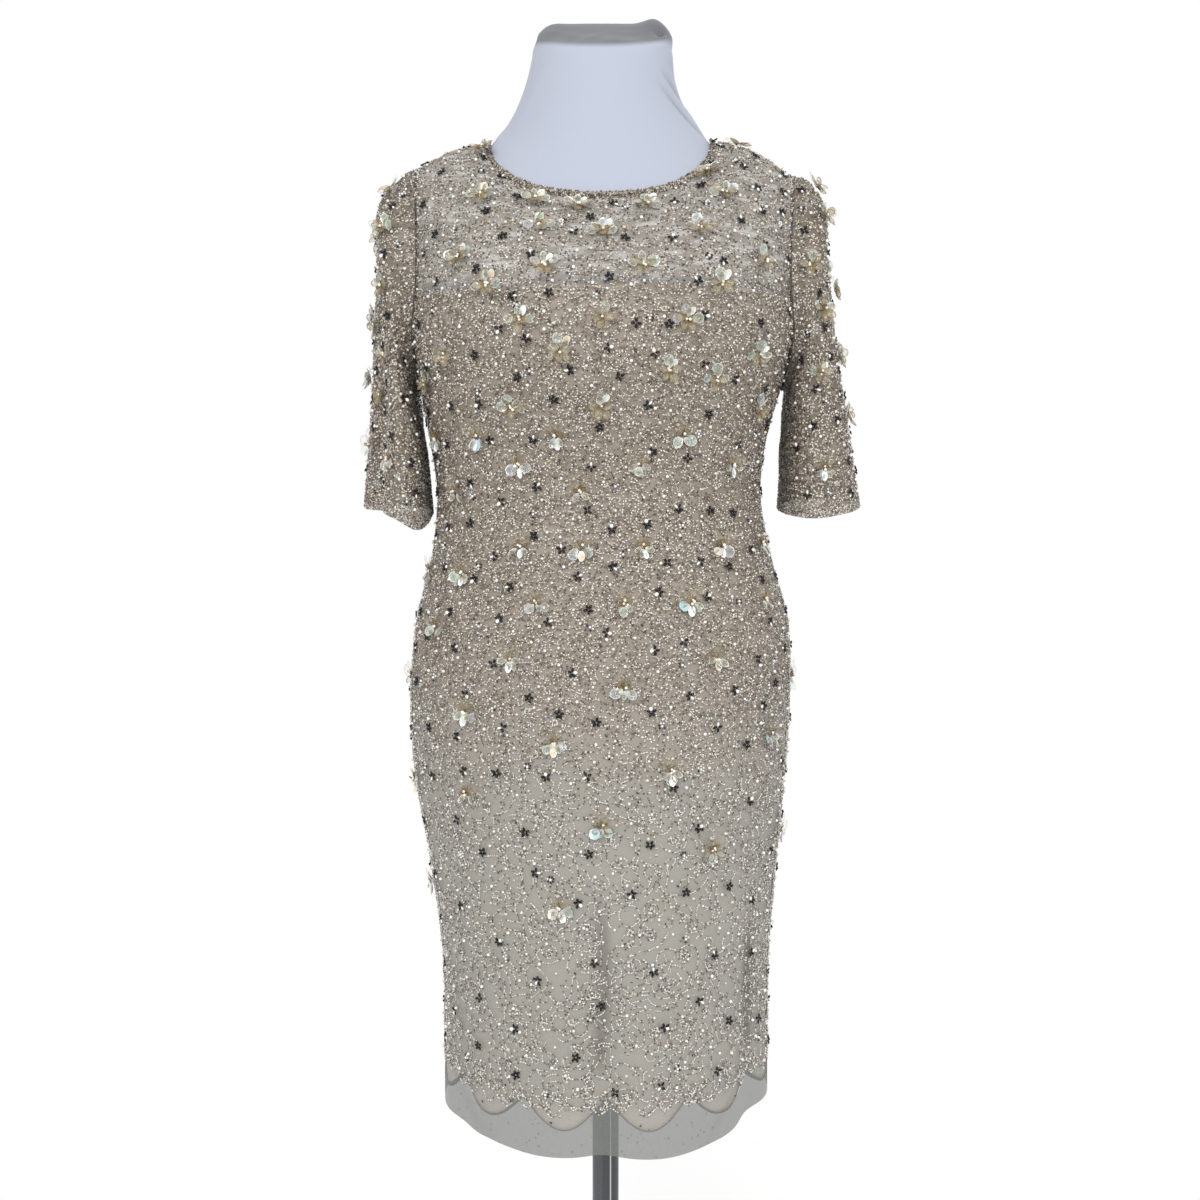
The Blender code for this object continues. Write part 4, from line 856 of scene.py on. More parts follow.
def net(name, zones):
    """Fine net, with the smallest beads as tone and bump. The mesh marks it: red is how far a
    seam allowance lies under it, and also painted shade in the skirt's troughs, along the
    border's slanting lines and on a sleeve's inner side; where red is high the net is darker and
    lets less through. Green tells the lined part from the open border, where the net lies double
    and is greyer with painted shade from inside the dress."""
    made = Nodes(name, zones[-1].colour, 0.60, Sheen_Weight=0.08, Sheen_Roughness=0.4)
    height = made.axes()["Z"]
    plain = by_height(made, height, zones, "colour")
    wisp = made.ramp(made.noise(0.006, 3.0, (0.22, 0.22, 1.0)), 0.48, 0.66, smooth=True)
    wisp = made.maths("MULTIPLY", wisp, by_height(made, height, zones, "wisps"))
    plain = made.mix(wisp, plain, WISP)
    tone = made.ramp(made.noise(0.03, 2.0), 0.3, 0.7, 0.94, 1.06)
    shade = made.add("Mix", data_type="RGBA", blend_type="MULTIPLY")
    grey = made.add("CombineColor", {0: tone, 1: tone, 2: tone}).outputs[0]
    made.set(shade, {0: 1.0, 6: plain, 7: grey})
    marks = made.marks()
    seam, lined = marks["Red"], made.ramp(marks["Green"], *LINED_EDGE)
    bead, colour = tiny_beads(made, height, zones)
    beaded = made.mix(bead, shade.outputs[2], colour)
    beaded = made.mix(lined, OPEN_NET_AND_SHADE, beaded)
    mesh = {"Vector": made.place(), "Scale": 1 / NET_CELL}
    gap = made.add("TexVoronoi", mesh, feature="DISTANCE_TO_EDGE").outputs["Distance"]
    thread = made.ramp(gap, 0.05, 0.25, 1.0, 0.0, smooth=True)
    cover = by_height(made, height, zones, "cover")
    rise = made.maths("MULTIPLY", made.maths("SUBTRACT", 1.0, lined), OPEN_COVER - zones[0].cover)
    cover = made.maths("ADD", cover, rise)
    alpha = made.maths("ADD", cover, made.ramp(thread, 0.0, 1.0, -0.02, 0.06))
    alpha = made.maths("MAXIMUM", alpha, made.maths("MULTIPLY", bead, 0.95))
    made.shade("Alpha", made.maths("MAXIMUM", alpha, made.ramp(seam, 0, 1, 0, SEAM_AND_SHADE_COVER)))
    # the seam allowances' dark colour, which also paints the shade that the red mark carries
    allowance = tuple(value * SEAM_AND_SHADE_TONE for value in zones[-1].colour)
    made.shade("Base Color", made.mix(seam, beaded, allowance))
    made.bump(made.maths("ADD", made.maths("MULTIPLY", thread, 0.15), bead), 0.0006, 0.6)
    return made.material


def smooth_cloth(name, colour, roughness, weave, sheen):
    """Plain cloth: slight changes of tone, and a weave or knit as bump."""
    made = Nodes(name, colour, roughness, Sheen_Weight=sheen, Sheen_Roughness=0.5)
    tone = made.ramp(made.noise(0.035, 3.0), 0.3, 0.7)
    dark = tuple(value * 0.94 for value in colour)
    light = tuple(min(value * 1.04, 1.0) for value in colour)
    made.shade("Base Color", made.mix(tone, dark, light))
    made.bump(made.noise(weave, 1.0), weave * 0.4, 0.35)
    return made


def lining_material():
    """Satin that is palest along the scallops, painted lighter there against the net's shadow, and
    warmest in the bodice.
    """
    made = smooth_cloth("nude_lining", LINING_ZONES[1].colour, 0.50, 0.0006, 0.2)
    made.shade("Base Color", by_height(made, made.axes()["Z"], LINING_ZONES, "colour"))
    return made


def jersey_material():
    """Jersey with painted shade on the neck's sloping top, down to a shallow arc, and painted
    shade in the troughs, which the mesh marks in red."""
    made = smooth_cloth("jersey", JERSEY, 0.80, 0.0009, 0.25)
    axes = made.axes()
    aside = made.maths("DIVIDE", made.maths("SUBTRACT", axes["X"], NECK_AXIS[0]), TOP_HALF_WIDE)
    rise = made.maths("MULTIPLY", made.maths("MULTIPLY", aside, aside), TOP_ARC)
    height = made.maths("SUBTRACT", axes["Z"], rise)
    shade = made.ramp(height, TOP_SHADE_Z - 0.005, TOP_SHADE_Z + 0.005, smooth=True)
    trough = made.maths("MULTIPLY", made.marks()["Red"], TROUGH_PAINTED_SHADE)
    shade = made.maths("MAXIMUM", shade, trough)
    made.shade("Base Color", made.mix(shade, JERSEY, JERSEY_SHADE))
    return made


def pole_material():
    """Brushed tube with painted reflections: a lighter band with fine rings on its left, and one pale
    line along it as a painted highlight.
    """
    made = metal("steel_tube", POLE_STEEL, 0.34, BRUSHED)
    axes = made.axes()
    ring = made.maths("SINE", made.maths("MULTIPLY", axes["Z"], 2 * math.pi / RING_PITCH))
    beside = made.maths("ABSOLUTE", made.maths("SUBTRACT", axes["X"], 0.0052))
    # the pale line is a painted highlight
    line = made.ramp(beside, 0.0004, 0.0009, 1.0, 0.0)
    line = made.maths("MULTIPLY", line, made.ramp(axes["Y"], 0.0, 0.001, 1.0, 0.0))
    band = made.ramp(axes["X"], -0.0045, -0.0025, smooth=True)
    ringed = made.mix(made.ramp(ring, -1.0, 1.0), POLE_STEEL, POLE_LIT_RING)
    banded = made.mix(band, ringed, POLE_STEEL)
    made.shade("Base Color", made.mix(line, banded, POLE_HIGHLIGHT))
    return made


def beads(name, roughness, metallic=0.0, **sockets):
    """Small pieces that carry their own colour, and their own alpha if they are see-through."""
    made = Nodes(name, (0.5, 0.5, 0.5), roughness, Metallic=metallic, **sockets)
    tint = made.add("Attribute", attribute_name="tint").outputs
    made.shade("Base Color", tint["Color"])
    if "Alpha" not in sockets:
        made.shade("Alpha", tint["Alpha"])
    return made


def metal(name, colour, roughness, brushed=None):
    made = Nodes(name, colour, roughness, Metallic=1.0)
    grain = made.noise(0.004, 4.0, brushed)
    made.shade("Roughness", made.ramp(grain, 0.3, 0.7, roughness * 0.8, roughness * 1.3))
    made.bump(made.noise(0.0012, 2.0, brushed), 0.0001, 0.3)
    return made


def floor_material():
    """Pale floor that fades out towards its edge, so that no horizon shows."""
    made = Nodes("studio_floor", (0.95, 0.95, 0.95), 0.80)
    tone = made.ramp(made.noise(1.5), 0.3, 0.7)
    made.shade("Base Color", made.mix(tone, (0.94, 0.94, 0.94), (0.96, 0.96, 0.96)))
    away = made.add("VectorMath", {0: made.place()}, operation="LENGTH").outputs["Value"]
    made.shade("Alpha", made.ramp(away, 0.3, 1.1, 1.0, 0.0, smooth=True))
    return made.material


def make_materials():
    found = {
        "lining": lining_material(),
        "jersey": jersey_material(),
        "binding": smooth_cloth("binding", (0.33, 0.28, 0.23), 0.65, 0.0005, 0.1),
        "thread": smooth_cloth("dark_thread", (0.075, 0.055, 0.040), 0.70, 0.0004, 0.1),
        "hem_thread": smooth_cloth("hem_thread", (0.36, 0.34, 0.30), 0.70, 0.0004, 0.1),
        "tape": smooth_cloth("zip_tape", (0.50, 0.43, 0.35), 0.80, 0.0005, 0.1),
        "cord": beads("seam_cord", 0.70, Alpha=1.0),
        "beads": beads("glass_beads", 0.16, Alpha=1.0, Coat_Weight=0.3),
        "pearls": beads("pearls", 0.20, Alpha=1.0, Coat_Weight=0.6, Coat_Roughness=0.08),
        "stones": beads("dark_stones", 0.10, Alpha=1.0, Specular_IOR_Level=0.3),
        "petals": beads("petals", 0.20, Coat_Weight=0.25, Coat_Roughness=0.10),
        "sequins": beads("sequins", 0.14, 0.10, Thin_Film_Thickness=420.0, Thin_Film_IOR=1.6),
        "coil": Nodes("zip_coil", COIL_COLOUR, 0.35),
        "nickel": metal("nickel", (0.78, 0.76, 0.72), 0.22),
        "steel": metal("steel", (0.42, 0.43, 0.44), 0.30, BRUSHED),
        "steel_tube": pole_material(),
    }
    found = {key: made.material for key, made in found.items()}
    found["panel_net"] = net("panel_net", PANEL_NET)
    found["sleeve_net"] = net("sleeve_net", SLEEVE_NET)
    return found


MATERIALS = make_materials()

# ------------------------------------------------------------------------------ meshes


def paint(mesh, tints):
    """A colour for each point, which the materials read as tint."""
    layer = mesh.color_attributes.new(name="tint", type="FLOAT_COLOR", domain="POINT")
    layer.data.foreach_set("color", np.asarray(tints, np.float32).ravel())


def add_mesh(name, points, faces, material, smooth=True, tints=None):
    """A mesh piece that rides on the dress. Faces are all triangles or all quads."""
    points, faces = np.asarray(points, np.float32), np.asarray(faces, np.int32)
    mesh = bpy.data.meshes.new(name)
    mesh.vertices.add(len(points))
    mesh.vertices.foreach_set("co", points.ravel())
    mesh.loops.add(faces.size)
    mesh.loops.foreach_set("vertex_index", faces.ravel())
    mesh.polygons.add(len(faces))
    sides = faces.shape[1]
    mesh.polygons.foreach_set("loop_start", np.arange(0, faces.size, sides, dtype=np.int32))
    mesh.polygons.foreach_set("loop_total", np.full(len(faces), sides, np.int32))
    if tints is not None:
        paint(mesh, tints)
    mesh.update(calc_edges=True)
    mesh.validate()
    if smooth:
        mesh.shade_smooth()
    return add_object(name, mesh, material)


def add_object(name, mesh, material):
    mesh.materials.append(MATERIALS[material])
    made = bpy.data.objects.new(name, mesh)
    bpy.context.scene.collection.objects.link(made)
    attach(made, BODY)
    return made


def grid_faces(columns, rows, closed=False):
    """Quads of a grid of points. A closed grid joins its last column to its first."""
    spans = columns if closed else columns - 1
    i, j = np.meshgrid(np.arange(spans), np.arange(rows - 1), indexing="ij")
    i, j = i.ravel(), j.ravel()
    after = (i + 1) % columns
    return np.stack([i * rows + j, after * rows + j, after * rows + j + 1, i * rows + j + 1], 1)


def add_cloth(name, node, grid, outward, material, closed=False, marks=None):
    """A grid of points as cloth that replaces a node, with its faces turned outward. Marks are
    the seam allowance and painted shade under each point, from 0 to 1, and whether it is
    lined, from 0 to 1 with 0.5 at the edge."""
    faces = grid_faces(*grid.shape[:2], closed)
    normal = np.cross(grid[1, 0] - grid[0, 0], grid[0, 1] - grid[0, 0])
    if (normal * outward[0, 0]).sum() < 0:
        faces = faces[:, ::-1]
    tints = None
    if marks:
        seam, lined = (np.broadcast_to(mark, grid.shape[:2]).ravel() for mark in marks)
        tints = np.stack([seam, lined, np.zeros_like(seam), np.ones_like(seam)], axis=1)
    made = add_mesh(name, grid.reshape(-1, 3), faces, material, tints=tints)
    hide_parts(node)
    return made


def tube(path, radius, sides, closed=False):
    """Points and faces of a round cord along a path. An open one is closed by its end points."""
    step = np.roll(path, -1, axis=0) - np.roll(path, 1, axis=0)
    if not closed:
        step[0], step[-1] = path[1] - path[0], path[-1] - path[-2]
    step = unit(step)
    lean = np.where(np.abs(step[:, 2:]) > 0.8, [[1.0, 0.0, 0.0]], [[0.0, 0.0, 1.0]])
    first = unit(np.cross(step, lean))
    second = np.cross(step, first)
    turns = np.arange(sides) * 2 * math.pi / sides
    radius = np.broadcast_to(np.asarray(radius, float), len(path))[:, None, None]
    ring = first[:, None] * np.cos(turns)[:, None] + second[:, None] * np.sin(turns)[:, None]
    points = (path[:, None] + ring * radius).reshape(-1, 3)
    i, k = np.meshgrid(np.arange(len(path) - (not closed)), np.arange(sides), indexing="ij")
    i, k = i.ravel(), k.ravel()
    after, beside = (i + 1) % len(path), (k + 1) % sides
    faces = [i * sides + k, after * sides + k, after * sides + beside, i * sides + beside]
    return points, np.stack(faces, axis=1)


def template(build, **sizes):
    """Points and triangles of a small shape, made with one of bmesh's operators."""
    work = bmesh.new()
    build(work, **sizes)
    bmesh.ops.triangulate(work, faces=work.faces)
    points = np.array([vert.co[:] for vert in work.verts])
    faces = np.array([[vert.index for vert in face.verts] for face in work.faces])
    work.free()
    return points, faces


ROUND = template(bmesh.ops.create_icosphere, subdivisions=1, radius=1.0)
SEED_SIDES = 4
PETAL_SIDES = 10
PETAL_RINGS = (0.80, 0.91, 1.0)


def seed_template():
    """The side of a small bead that shows: a low dome on an open rim, with painted shade on one side."""
    turns = np.arange(SEED_SIDES) * 2 * math.pi / SEED_SIDES
    points = [[0.0, 0.0, 1.0]] + [[math.cos(turn), math.sin(turn), -0.3] for turn in turns]
    faces = [[0, 1 + k, 1 + (k + 1) % SEED_SIDES] for k in range(SEED_SIDES)]
    dark = [0.0] + [0.45 - 0.75 * math.sin(turn) for turn in turns]
    return np.array(points), np.array(faces), np.clip(dark, 0.0, 1.0)


SEED = seed_template()


def seed_axes(run, normal):
    """Axes of seeds along these runs, with their painted shade on the lower side."""
    side = np.cross(normal, run)
    flip = np.where(side[:, 2:] < 0, -1.0, 1.0)
    return np.stack([run * flip, side * flip, normal], axis=1)


def petal_template():
    """A cupped sequin from 0 to 1 along x, half as wide each way as long. Its rim, its base
    and every other rib take the edge's colour."""
    turns = np.arange(PETAL_SIDES) * 2 * math.pi / PETAL_SIDES
    points, rim = [[0.5, 0.0, 0.0]], [0.10]
    for ring, share in enumerate(PETAL_RINGS):
        for k, turn in enumerate(turns):
            x, y = 0.5 * share * math.cos(turn), 0.5 * share * math.sin(turn)
            points.append([0.5 + x, y, share**2])
            base = 0.55 if math.cos(turn) < -0.4 else 0.0
            rim.append(min(0.05 + 0.50 * (k % 2) + base, 1.0) if ring == 0 else 1.0)
    faces = [[0, 1 + k, 1 + (k + 1) % PETAL_SIDES] for k in range(PETAL_SIDES)]
    for ring in range(len(PETAL_RINGS) - 1):
        inner = 1 + ring * PETAL_SIDES
        outer = inner + PETAL_SIDES
        for k in range(PETAL_SIDES):
            after = (k + 1) % PETAL_SIDES
            faces.append([inner + k, outer + k, outer + after])
            faces.append([inner + k, outer + after, inner + after])
    return np.array(points), np.array(faces), np.array(rim)


PETAL = petal_template()


class Stamps:
    """Copies of a small shape, which become one joined mesh."""

    def __init__(self, shape):
        self.shape = shape
        self.places, self.axes, self.sizes, self.tints, self.rims = [], [], [], [], []

    def add(self, place, axes, size, tint, rim=None):
        """Copies at places, with rows of axes for x, y and z, and half sizes along them."""
        place = np.atleast_2d(place)
        count = len(place)
        self.places.append(place)
        self.axes.append(np.broadcast_to(axes, (count, 3, 3)))
        self.sizes.append(np.broadcast_to(size, (count, 3)))
        self.tints.append(np.broadcast_to(tint, (count, 4)))
        self.rims.append(np.broadcast_to(tint if rim is None else rim, (count, 4)))

    def make(self, name, material, smooth):
        points, faces = self.shape[:2]
        rim = self.shape[2] if len(self.shape) > 2 else np.zeros(len(points))
        places, axes, sizes = (np.concatenate(x) for x in (self.places, self.axes, self.sizes))
        tints, rims = np.concatenate(self.tints), np.concatenate(self.rims)
        local = points[None] * sizes[:, None]
        world = places[:, None] + np.einsum("nkc,ncd->nkd", local, axes)
        colour = tints[:, None] + (rims - tints)[:, None] * rim[None, :, None]
        joined = faces[None] + (np.arange(len(places)) * len(points))[:, None, None]
        points, faces = world.reshape(-1, 3), joined.reshape(-1, 3)
        return add_mesh(name, points, faces, material, smooth, colour.reshape(-1, 4))


# ------------------------------------------------------------------------------- shells


# Pieces of the body: the panel whose surface they lie on, and the shares of it that they span.
PANELS = {
    "front_panel": ("front", 0.0, 1.0),
    "back_panel_left": ("back", 0.0, 0.5),
    "back_panel_right": ("back", 0.5, 1.0),
}
LININGS = dict(zip(("lining_front", "lining_back_left", "lining_back_right"), PANELS.values()))
NET_ROWS = 140
NET_COLUMNS = 5          # to each column of the part's source
LINING_ROWS = 64
LINING_COLUMNS = 6
SLEEVE_NET_ROWS = 70
SLEEVE_NET_COLUMNS = 120
SEAM_ALLOWANCE = 0.008   # how far a seam's inner edges reach under the cloth
SEAM_SHADE = 0.35
UNDERARM_SHADE = 0.8
TROUGH_SHADE = 78.0      # for each metre of the trough's depth
BORDER_LINE_TOP = 0.50
BORDER_LINE_WIDE = 0.0045
BORDER_LINE_SHADE = 0.40
TURNED_AWAY = 0.11       # levels by which the lined part draws back where the cloth turns


def piece_shares(first, last, finer):
    return np.linspace(first, last, int(round(COLUMNS * finer * (last - first))) + 1)


def column_levels(low, high, rows):
    """Levels of each column, evenly from its own low one to the high one."""
    low = np.asarray(low, float)[:, None]
    return low + (high - low) * np.linspace(0, 1, rows)


def net_low(panel, shares):
    """Levels of the net's hem."""
    return hem_rise(panel, shares) / ROW_TALL


def lining_low(panel, shares):
    """Levels of the scallops' lower edge, as in the part's source."""
    wave = np.abs(np.sin(math.pi * SCALLOPS * shares))
    drop = SCALLOP_LEAST + (SCALLOP_DROP - SCALLOP_LEAST) * wave
    return LINING_FIRST_ROW * (1 - drop) + net_low(panel, shares) * drop


def edge_shade(beside):
    """1 at a seam, falling to 0 at the end of its allowance."""
    return 1 - smooth_step((beside - SEAM_ALLOWANCE * 0.6) / (SEAM_ALLOWANCE * 0.8))


def trough_shade(panel, u, z):
    """How much painted shade the net takes in the skirt's soft troughs."""
    shade = np.zeros_like(z)
    for fold in FOLDS:
        if fold.panel == panel:
            middle = fold.across + 0.006 * np.sin(z * 26 + fold.across * 9)
            tall = smooth_step((fold.top - z) / 0.10) * smooth_step((z - BEAD_EDGE_Z) / 0.05)
            shade += fold.depth * tall * bell((u - middle) / (fold.width * 0.55))
    return shade * TROUGH_SHADE


def border_shade(panel, u, z):
    """Painted shade along the soft slanting creases in the net's border."""
    shade = np.zeros_like(z)
    for crease in BODY_CREASES[panel]:
        if max(crease.z0, crease.z1) < BORDER_LINE_TOP:
            passed, aside = along_crease(crease, u * PANEL_SPAN, z, PANEL_SPAN)
            shade += np.sin(math.pi * passed) ** 0.5 * bell(aside / BORDER_LINE_WIDE)
    return shade * BORDER_LINE_SHADE


def make_panel_net(node):
    panel, first, last = PANELS[node]
    surface = SURFACES[panel]
    shares = piece_shares(first, last, NET_COLUMNS)
    levels = column_levels(net_low(panel, shares), TOP_ROW, NET_ROWS)
    u = np.broadcast_to(shares[:, None], levels.shape)
    grid = surface.at(u, levels, -NET_DEPTH)
    beside = np.minimum(u - first, last - u) * PANEL_SPAN
    seam = SEAM_SHADE * np.where(levels < UNDERARM_ROW, 1, 0.1) * edge_shade(beside)
    # painted shade joins the seam mark: in the skirt's troughs and along the border's lines
    seam = np.maximum(seam, trough_shade(panel, u, grid[..., 2]))
    seam = np.maximum(seam, border_shade(panel, u, grid[..., 2]))
    low = lining_low(panel, shares)
    steep = np.gradient(low, shares) * ROW_TALL / PANEL_SPAN
    inside = (levels - low[:, None]) / np.hypot(1.0, steep)[:, None]
    inside = inside - TURNED_AWAY * (2 * u - 1) ** 2
    marks = (seam, np.clip(0.5 + inside / 4, 0, 1))
    normal = surface.normal(u, levels)
    return add_cloth(node + "_net", node, grid, normal, "panel_net", marks=marks)


def make_lining(node):
    """Beside the zip the lining stops at the tape, and below it the halves meet."""
    panel, first, last = LININGS[node]
    surface = SURFACES[panel]
    shares = piece_shares(first, last, LINING_COLUMNS)
    levels = column_levels(lining_low(panel, shares), CHEST_ROW, LINING_ROWS)
    u = np.broadcast_to(shares[:, None], levels.shape).copy()
    if panel == "back":
        tape_level = (ZIP_END_Z - TAPE_LAP - HEM_Z) / ROW_TALL
        beside = smooth_step((levels - tape_level) / 2)
        room = beside * (TAPE_HALF + TAPE_CLEARANCE) / surface.scales(0.5, 20.0)[0]
        toward = (u - first) / (last - first)
        u += room * (1 - toward) if first else -room * toward
    grid, outward = surface.at(u, levels, -LINING_DEPTH), surface.normal(u, levels)
    return add_cloth(node + "_cloth", node, grid, outward, "lining")


def inner_shade(u):
    """1 along a sleeve's inner side, where the body shades it and shade is painted, falling to 0 at its
    front.
    """
    return 1 - smooth_step((np.abs(u - 0.5) - 0.03) / 0.15)


def make_sleeve_net(side):
    name = "sleeve_" + side
    surface = SURFACES[name]
    shares = np.arange(SLEEVE_NET_COLUMNS) / SLEEVE_NET_COLUMNS
    levels = np.linspace(0, SLEEVE_ROWS, SLEEVE_NET_ROWS)
    u, v = np.meshgrid(shares, levels, indexing="ij")
    grid, normal = surface.at(u, v, -NET_DEPTH), surface.normal(u, v)
    # red paints shade along the sleeve's inner side
    marks = (UNDERARM_SHADE * inner_shade(u), 1.0)
    return add_cloth(name + "_net", name, grid, normal, "sleeve_net", closed=True, marks=marks)


def neck_edge(panel, shares):
    """Points of the neckline, the cloth's normals there, and the way to the neck's form."""
    surface = SURFACES[panel]
    edge = surface.at(shares, TOP_ROW)
    normals = surface.normal(shares, np.full(len(shares), TOP_ROW))
    under = edge - normals * straight(FORM_DEPTHS, edge[:, 2], "z", "inside")[:, None]
    ring = LOWEST_NECK_RING
    angles = neckline_angle(shares)
    cosine, sine = -np.cos(angles), np.abs(np.sin(angles))
    half = np.where(cosine > 0, ring.right, ring.left)
    depth, height = (ring.front, ring.front_z) if panel == "front" else (ring.back, ring.back_z)
    x = NECK_AXIS[0] + half * cosine
    y = NECK_AXIS[1] + FACING[panel] * depth * sine**ring.square
    z = ring.side_z + (height - ring.side_z) * (1 - (1 - sine) ** NECK_CURVE)
    return edge, normals, unit(np.stack([x, y, z], axis=1) - under)


def neck_loop():
    """The neckline from the centre back to the left, round the front and back again."""
    back_left = np.linspace(0.499, SHOULDER_SHARE, 40)[:-1]
    front = np.linspace(SHOULDER_SHARE, 1 - SHOULDER_SHARE, 90)
    back_right = np.linspace(1 - SHOULDER_SHARE, 0.501, 40)[1:]
    parts = (neck_edge("back", back_left), neck_edge("front", front), neck_edge("back", back_right))
    return [np.concatenate([part[k] for part in parts]) for k in range(3)]


BINDING_PROFILE = 9      # points round the strip's profile
BINDING_HALF = 0.0007    # half its thickness over the edge


def make_binding():
    """A folded strip that turns over the neckline's edge: outside, over the top, inside."""
    edge, normals, upward = neck_loop()
    outside = unit(np.cross(upward, np.gradient(edge, axis=0)))
    outside *= np.sign((outside * normals).sum(axis=1, keepdims=True))
    rows = []
    for k in range(BINDING_PROFILE):
        turn = math.pi * k / (BINDING_PROFILE - 1)
        up = BINDING_START + BINDING_TALL * min(math.sin(turn) * 1.6, 1.0)
        rows.append(edge + upward * up + outside * BINDING_HALF * math.cos(turn))
    outward = np.repeat(outside[:, None], BINDING_PROFILE, axis=1)
    return add_cloth("neck_binding_strip", "neck_binding", np.stack(rows, axis=1), outward, "binding")


# -------------------------------------------------------------------------- the seams

CORD_SIDES = 6
SEAM_AND_SHADOW_LOW = (0.075, 0.055, 0.040, 1.0)
SEAM_HIGH = (0.20, 0.17, 0.135, 1.0)
ARMHOLE_SUNK = 0.0012    # the seam lies this far in over the shoulder, under the beads


def seam_cord(name, paths, radius, material="thread", tint=None, closed=False):
    """Stitched seams, as fine cords along these paths."""
    points, faces, tints, count = [], [], [], 0
    for path in paths:
        thick = radius(path) if callable(radius) else radius
        made, quads = tube(path, thick, CORD_SIDES, closed)
        points.append(made)
        faces.append(quads + count)
        count += len(made)
        if tint:
            tints.append(np.repeat(tint(path), CORD_SIDES, axis=0))
    tints = np.concatenate(tints) if tint else None
    return add_mesh(name, np.concatenate(points), np.concatenate(faces), material, tints=tints)


def armhole_low(path):
    """1 low on the armhole, falling to 0 towards the shoulder."""
    return smooth_step((1.33 - path[:, 2]) / 0.08)


def armhole_tint(path):
    """The seam is hidden among the beads over the shoulder, and dark lower down, where the colour also
    paints the shadow between sleeve and body.
    """
    low, high = np.array(SEAM_AND_SHADOW_LOW), np.array(SEAM_HIGH)
    return high + (low - high) * armhole_low(path)[:, None]


def armhole_thickness(path):
    """The armhole seam is thickest low down, where it gathers and where its dark also paints the shadow
    between sleeve and body.
    """
    uneven = 1 + 0.25 * np.sin(np.arange(len(path)) * 0.9)
    return (0.0006 + 0.0009 * armhole_low(path)) * uneven


def armhole_path(u):
    """The armhole's edge on this side, and the cloth's normals there, down the front first."""
    front, back = SURFACES["front"], SURFACES["back"]
    up = np.linspace(UNDERARM_ROW, TOP_ROW, 70)
    down, up = up[::-1], up[1:-1]
    path = np.concatenate([front.at(u, down), back.at(u, up)])
    return path, np.concatenate([front.normal(u, down), back.normal(u, up)])


def armhole_seam(u):
    path, normals = armhole_path(u)
    sunk = 0.0003 - ARMHOLE_SUNK * (1 - armhole_low(path))
    return path + normals * sunk[:, None]


def upright_seam(panel, u, top, count):
    """Points from the hem up to a level, on the cloth."""
    return SURFACES[panel].at(u, np.linspace(net_low(panel, [u])[0], top, count))


def make_seams():
    armholes = [armhole_seam(u) for u in (0.0, 1.0)]
    upright = [upright_seam("front", u, UNDERARM_ROW, 120) for u in (0.0, 1.0)]
    for shares in (np.linspace(0, SHOULDER_SHARE, 20), np.linspace(1 - SHOULDER_SHARE, 1, 20)):
        upright.append(SURFACES["front"].at(shares, TOP_ROW, 0.0002))
    upright.append(upright_seam("back", 0.5, TOP_ROW, 160))
    hems = []
    for panel, first, last in LININGS.values():
        shares = piece_shares(first, last, LINING_COLUMNS)
        hems.append(SURFACES[panel].at(shares, lining_low(panel, shares) + 0.02, -LINING_DEPTH))
    return [
        seam_cord("armhole_seams", armholes, armhole_thickness, "cord", armhole_tint, closed=True),
        seam_cord("panel_seams", upright, 0.0005),
        seam_cord("lining_hems", hems, 0.0006, "hem_thread"),
    ]


# -------------------------------------------------------------------- flowers and beads

CREAM = (0.70, 0.63, 0.52, 1.0)
WHITE = (0.94, 0.93, 0.91, 1.0)
SILVER = (0.76, 0.75, 0.71, 1.0)
TAUPE = (0.30, 0.24, 0.18, 1.0)
BROWN = (0.12, 0.085, 0.058, 1.0)
DARK = (0.030, 0.022, 0.017, 1.0)
BLACK = (0.006, 0.006, 0.008, 1.0)
COAL = (0.018, 0.018, 0.021, 1.0)
GREY = (0.22, 0.22, 0.235, 1.0)
GOLD_PEARL = (0.84, 0.74, 0.55, 1.0)
PINK_PEARL = (0.88, 0.78, 0.70, 1.0)
AMBER = (0.50, 0.42, 0.25, 0.42)
AMBER_EDGE = (0.20, 0.145, 0.065, 0.80)
CHAMPAGNE = (0.62, 0.56, 0.42, 0.26)
CHAMPAGNE_EDGE = (0.34, 0.27, 0.16, 0.70)
VEIL = (0.54, 0.49, 0.38, 0.10)
VEIL_EDGE = (0.34, 0.28, 0.18, 0.40)
OLIVE = (0.15, 0.125, 0.07, 0.85)
HEART = (0.28, 0.19, 0.08, 0.90)
HEART_EDGE = (0.11, 0.07, 0.03, 1.0)
RIB = (0.21, 0.15, 0.075, 1.0)
PALE_EDGE = (0.74, 0.77, 0.68, 0.92)
SMOKE = (0.20, 0.18, 0.13, 0.45)
MINT = (0.55, 0.70, 0.64, 0.28)
LILAC = (0.58, 0.58, 0.70, 0.34)
CLEAR = (0.70, 0.72, 0.69, 0.12)
CLEAR_EDGE = (0.80, 0.82, 0.79, 0.62)
OPAL_MINT = (0.52, 0.80, 0.72, 0.80)
OPAL_BLUE = (0.62, 0.72, 0.92, 0.90)
OPAL_GOLD = (0.90, 0.82, 0.58, 0.80)
OPAL_PINK = (0.92, 0.72, 0.82, 0.90)
# Colours of the shining sequins, as bright as glints: painted highlights.
GLINT = (0.97, 0.97, 0.96, 1.0)
PALE = (0.72, 0.76, 0.74, 0.85)
ICE = (0.80, 0.88, 0.98, 1.0)
WARM = (0.90, 0.68, 0.42, 0.80)


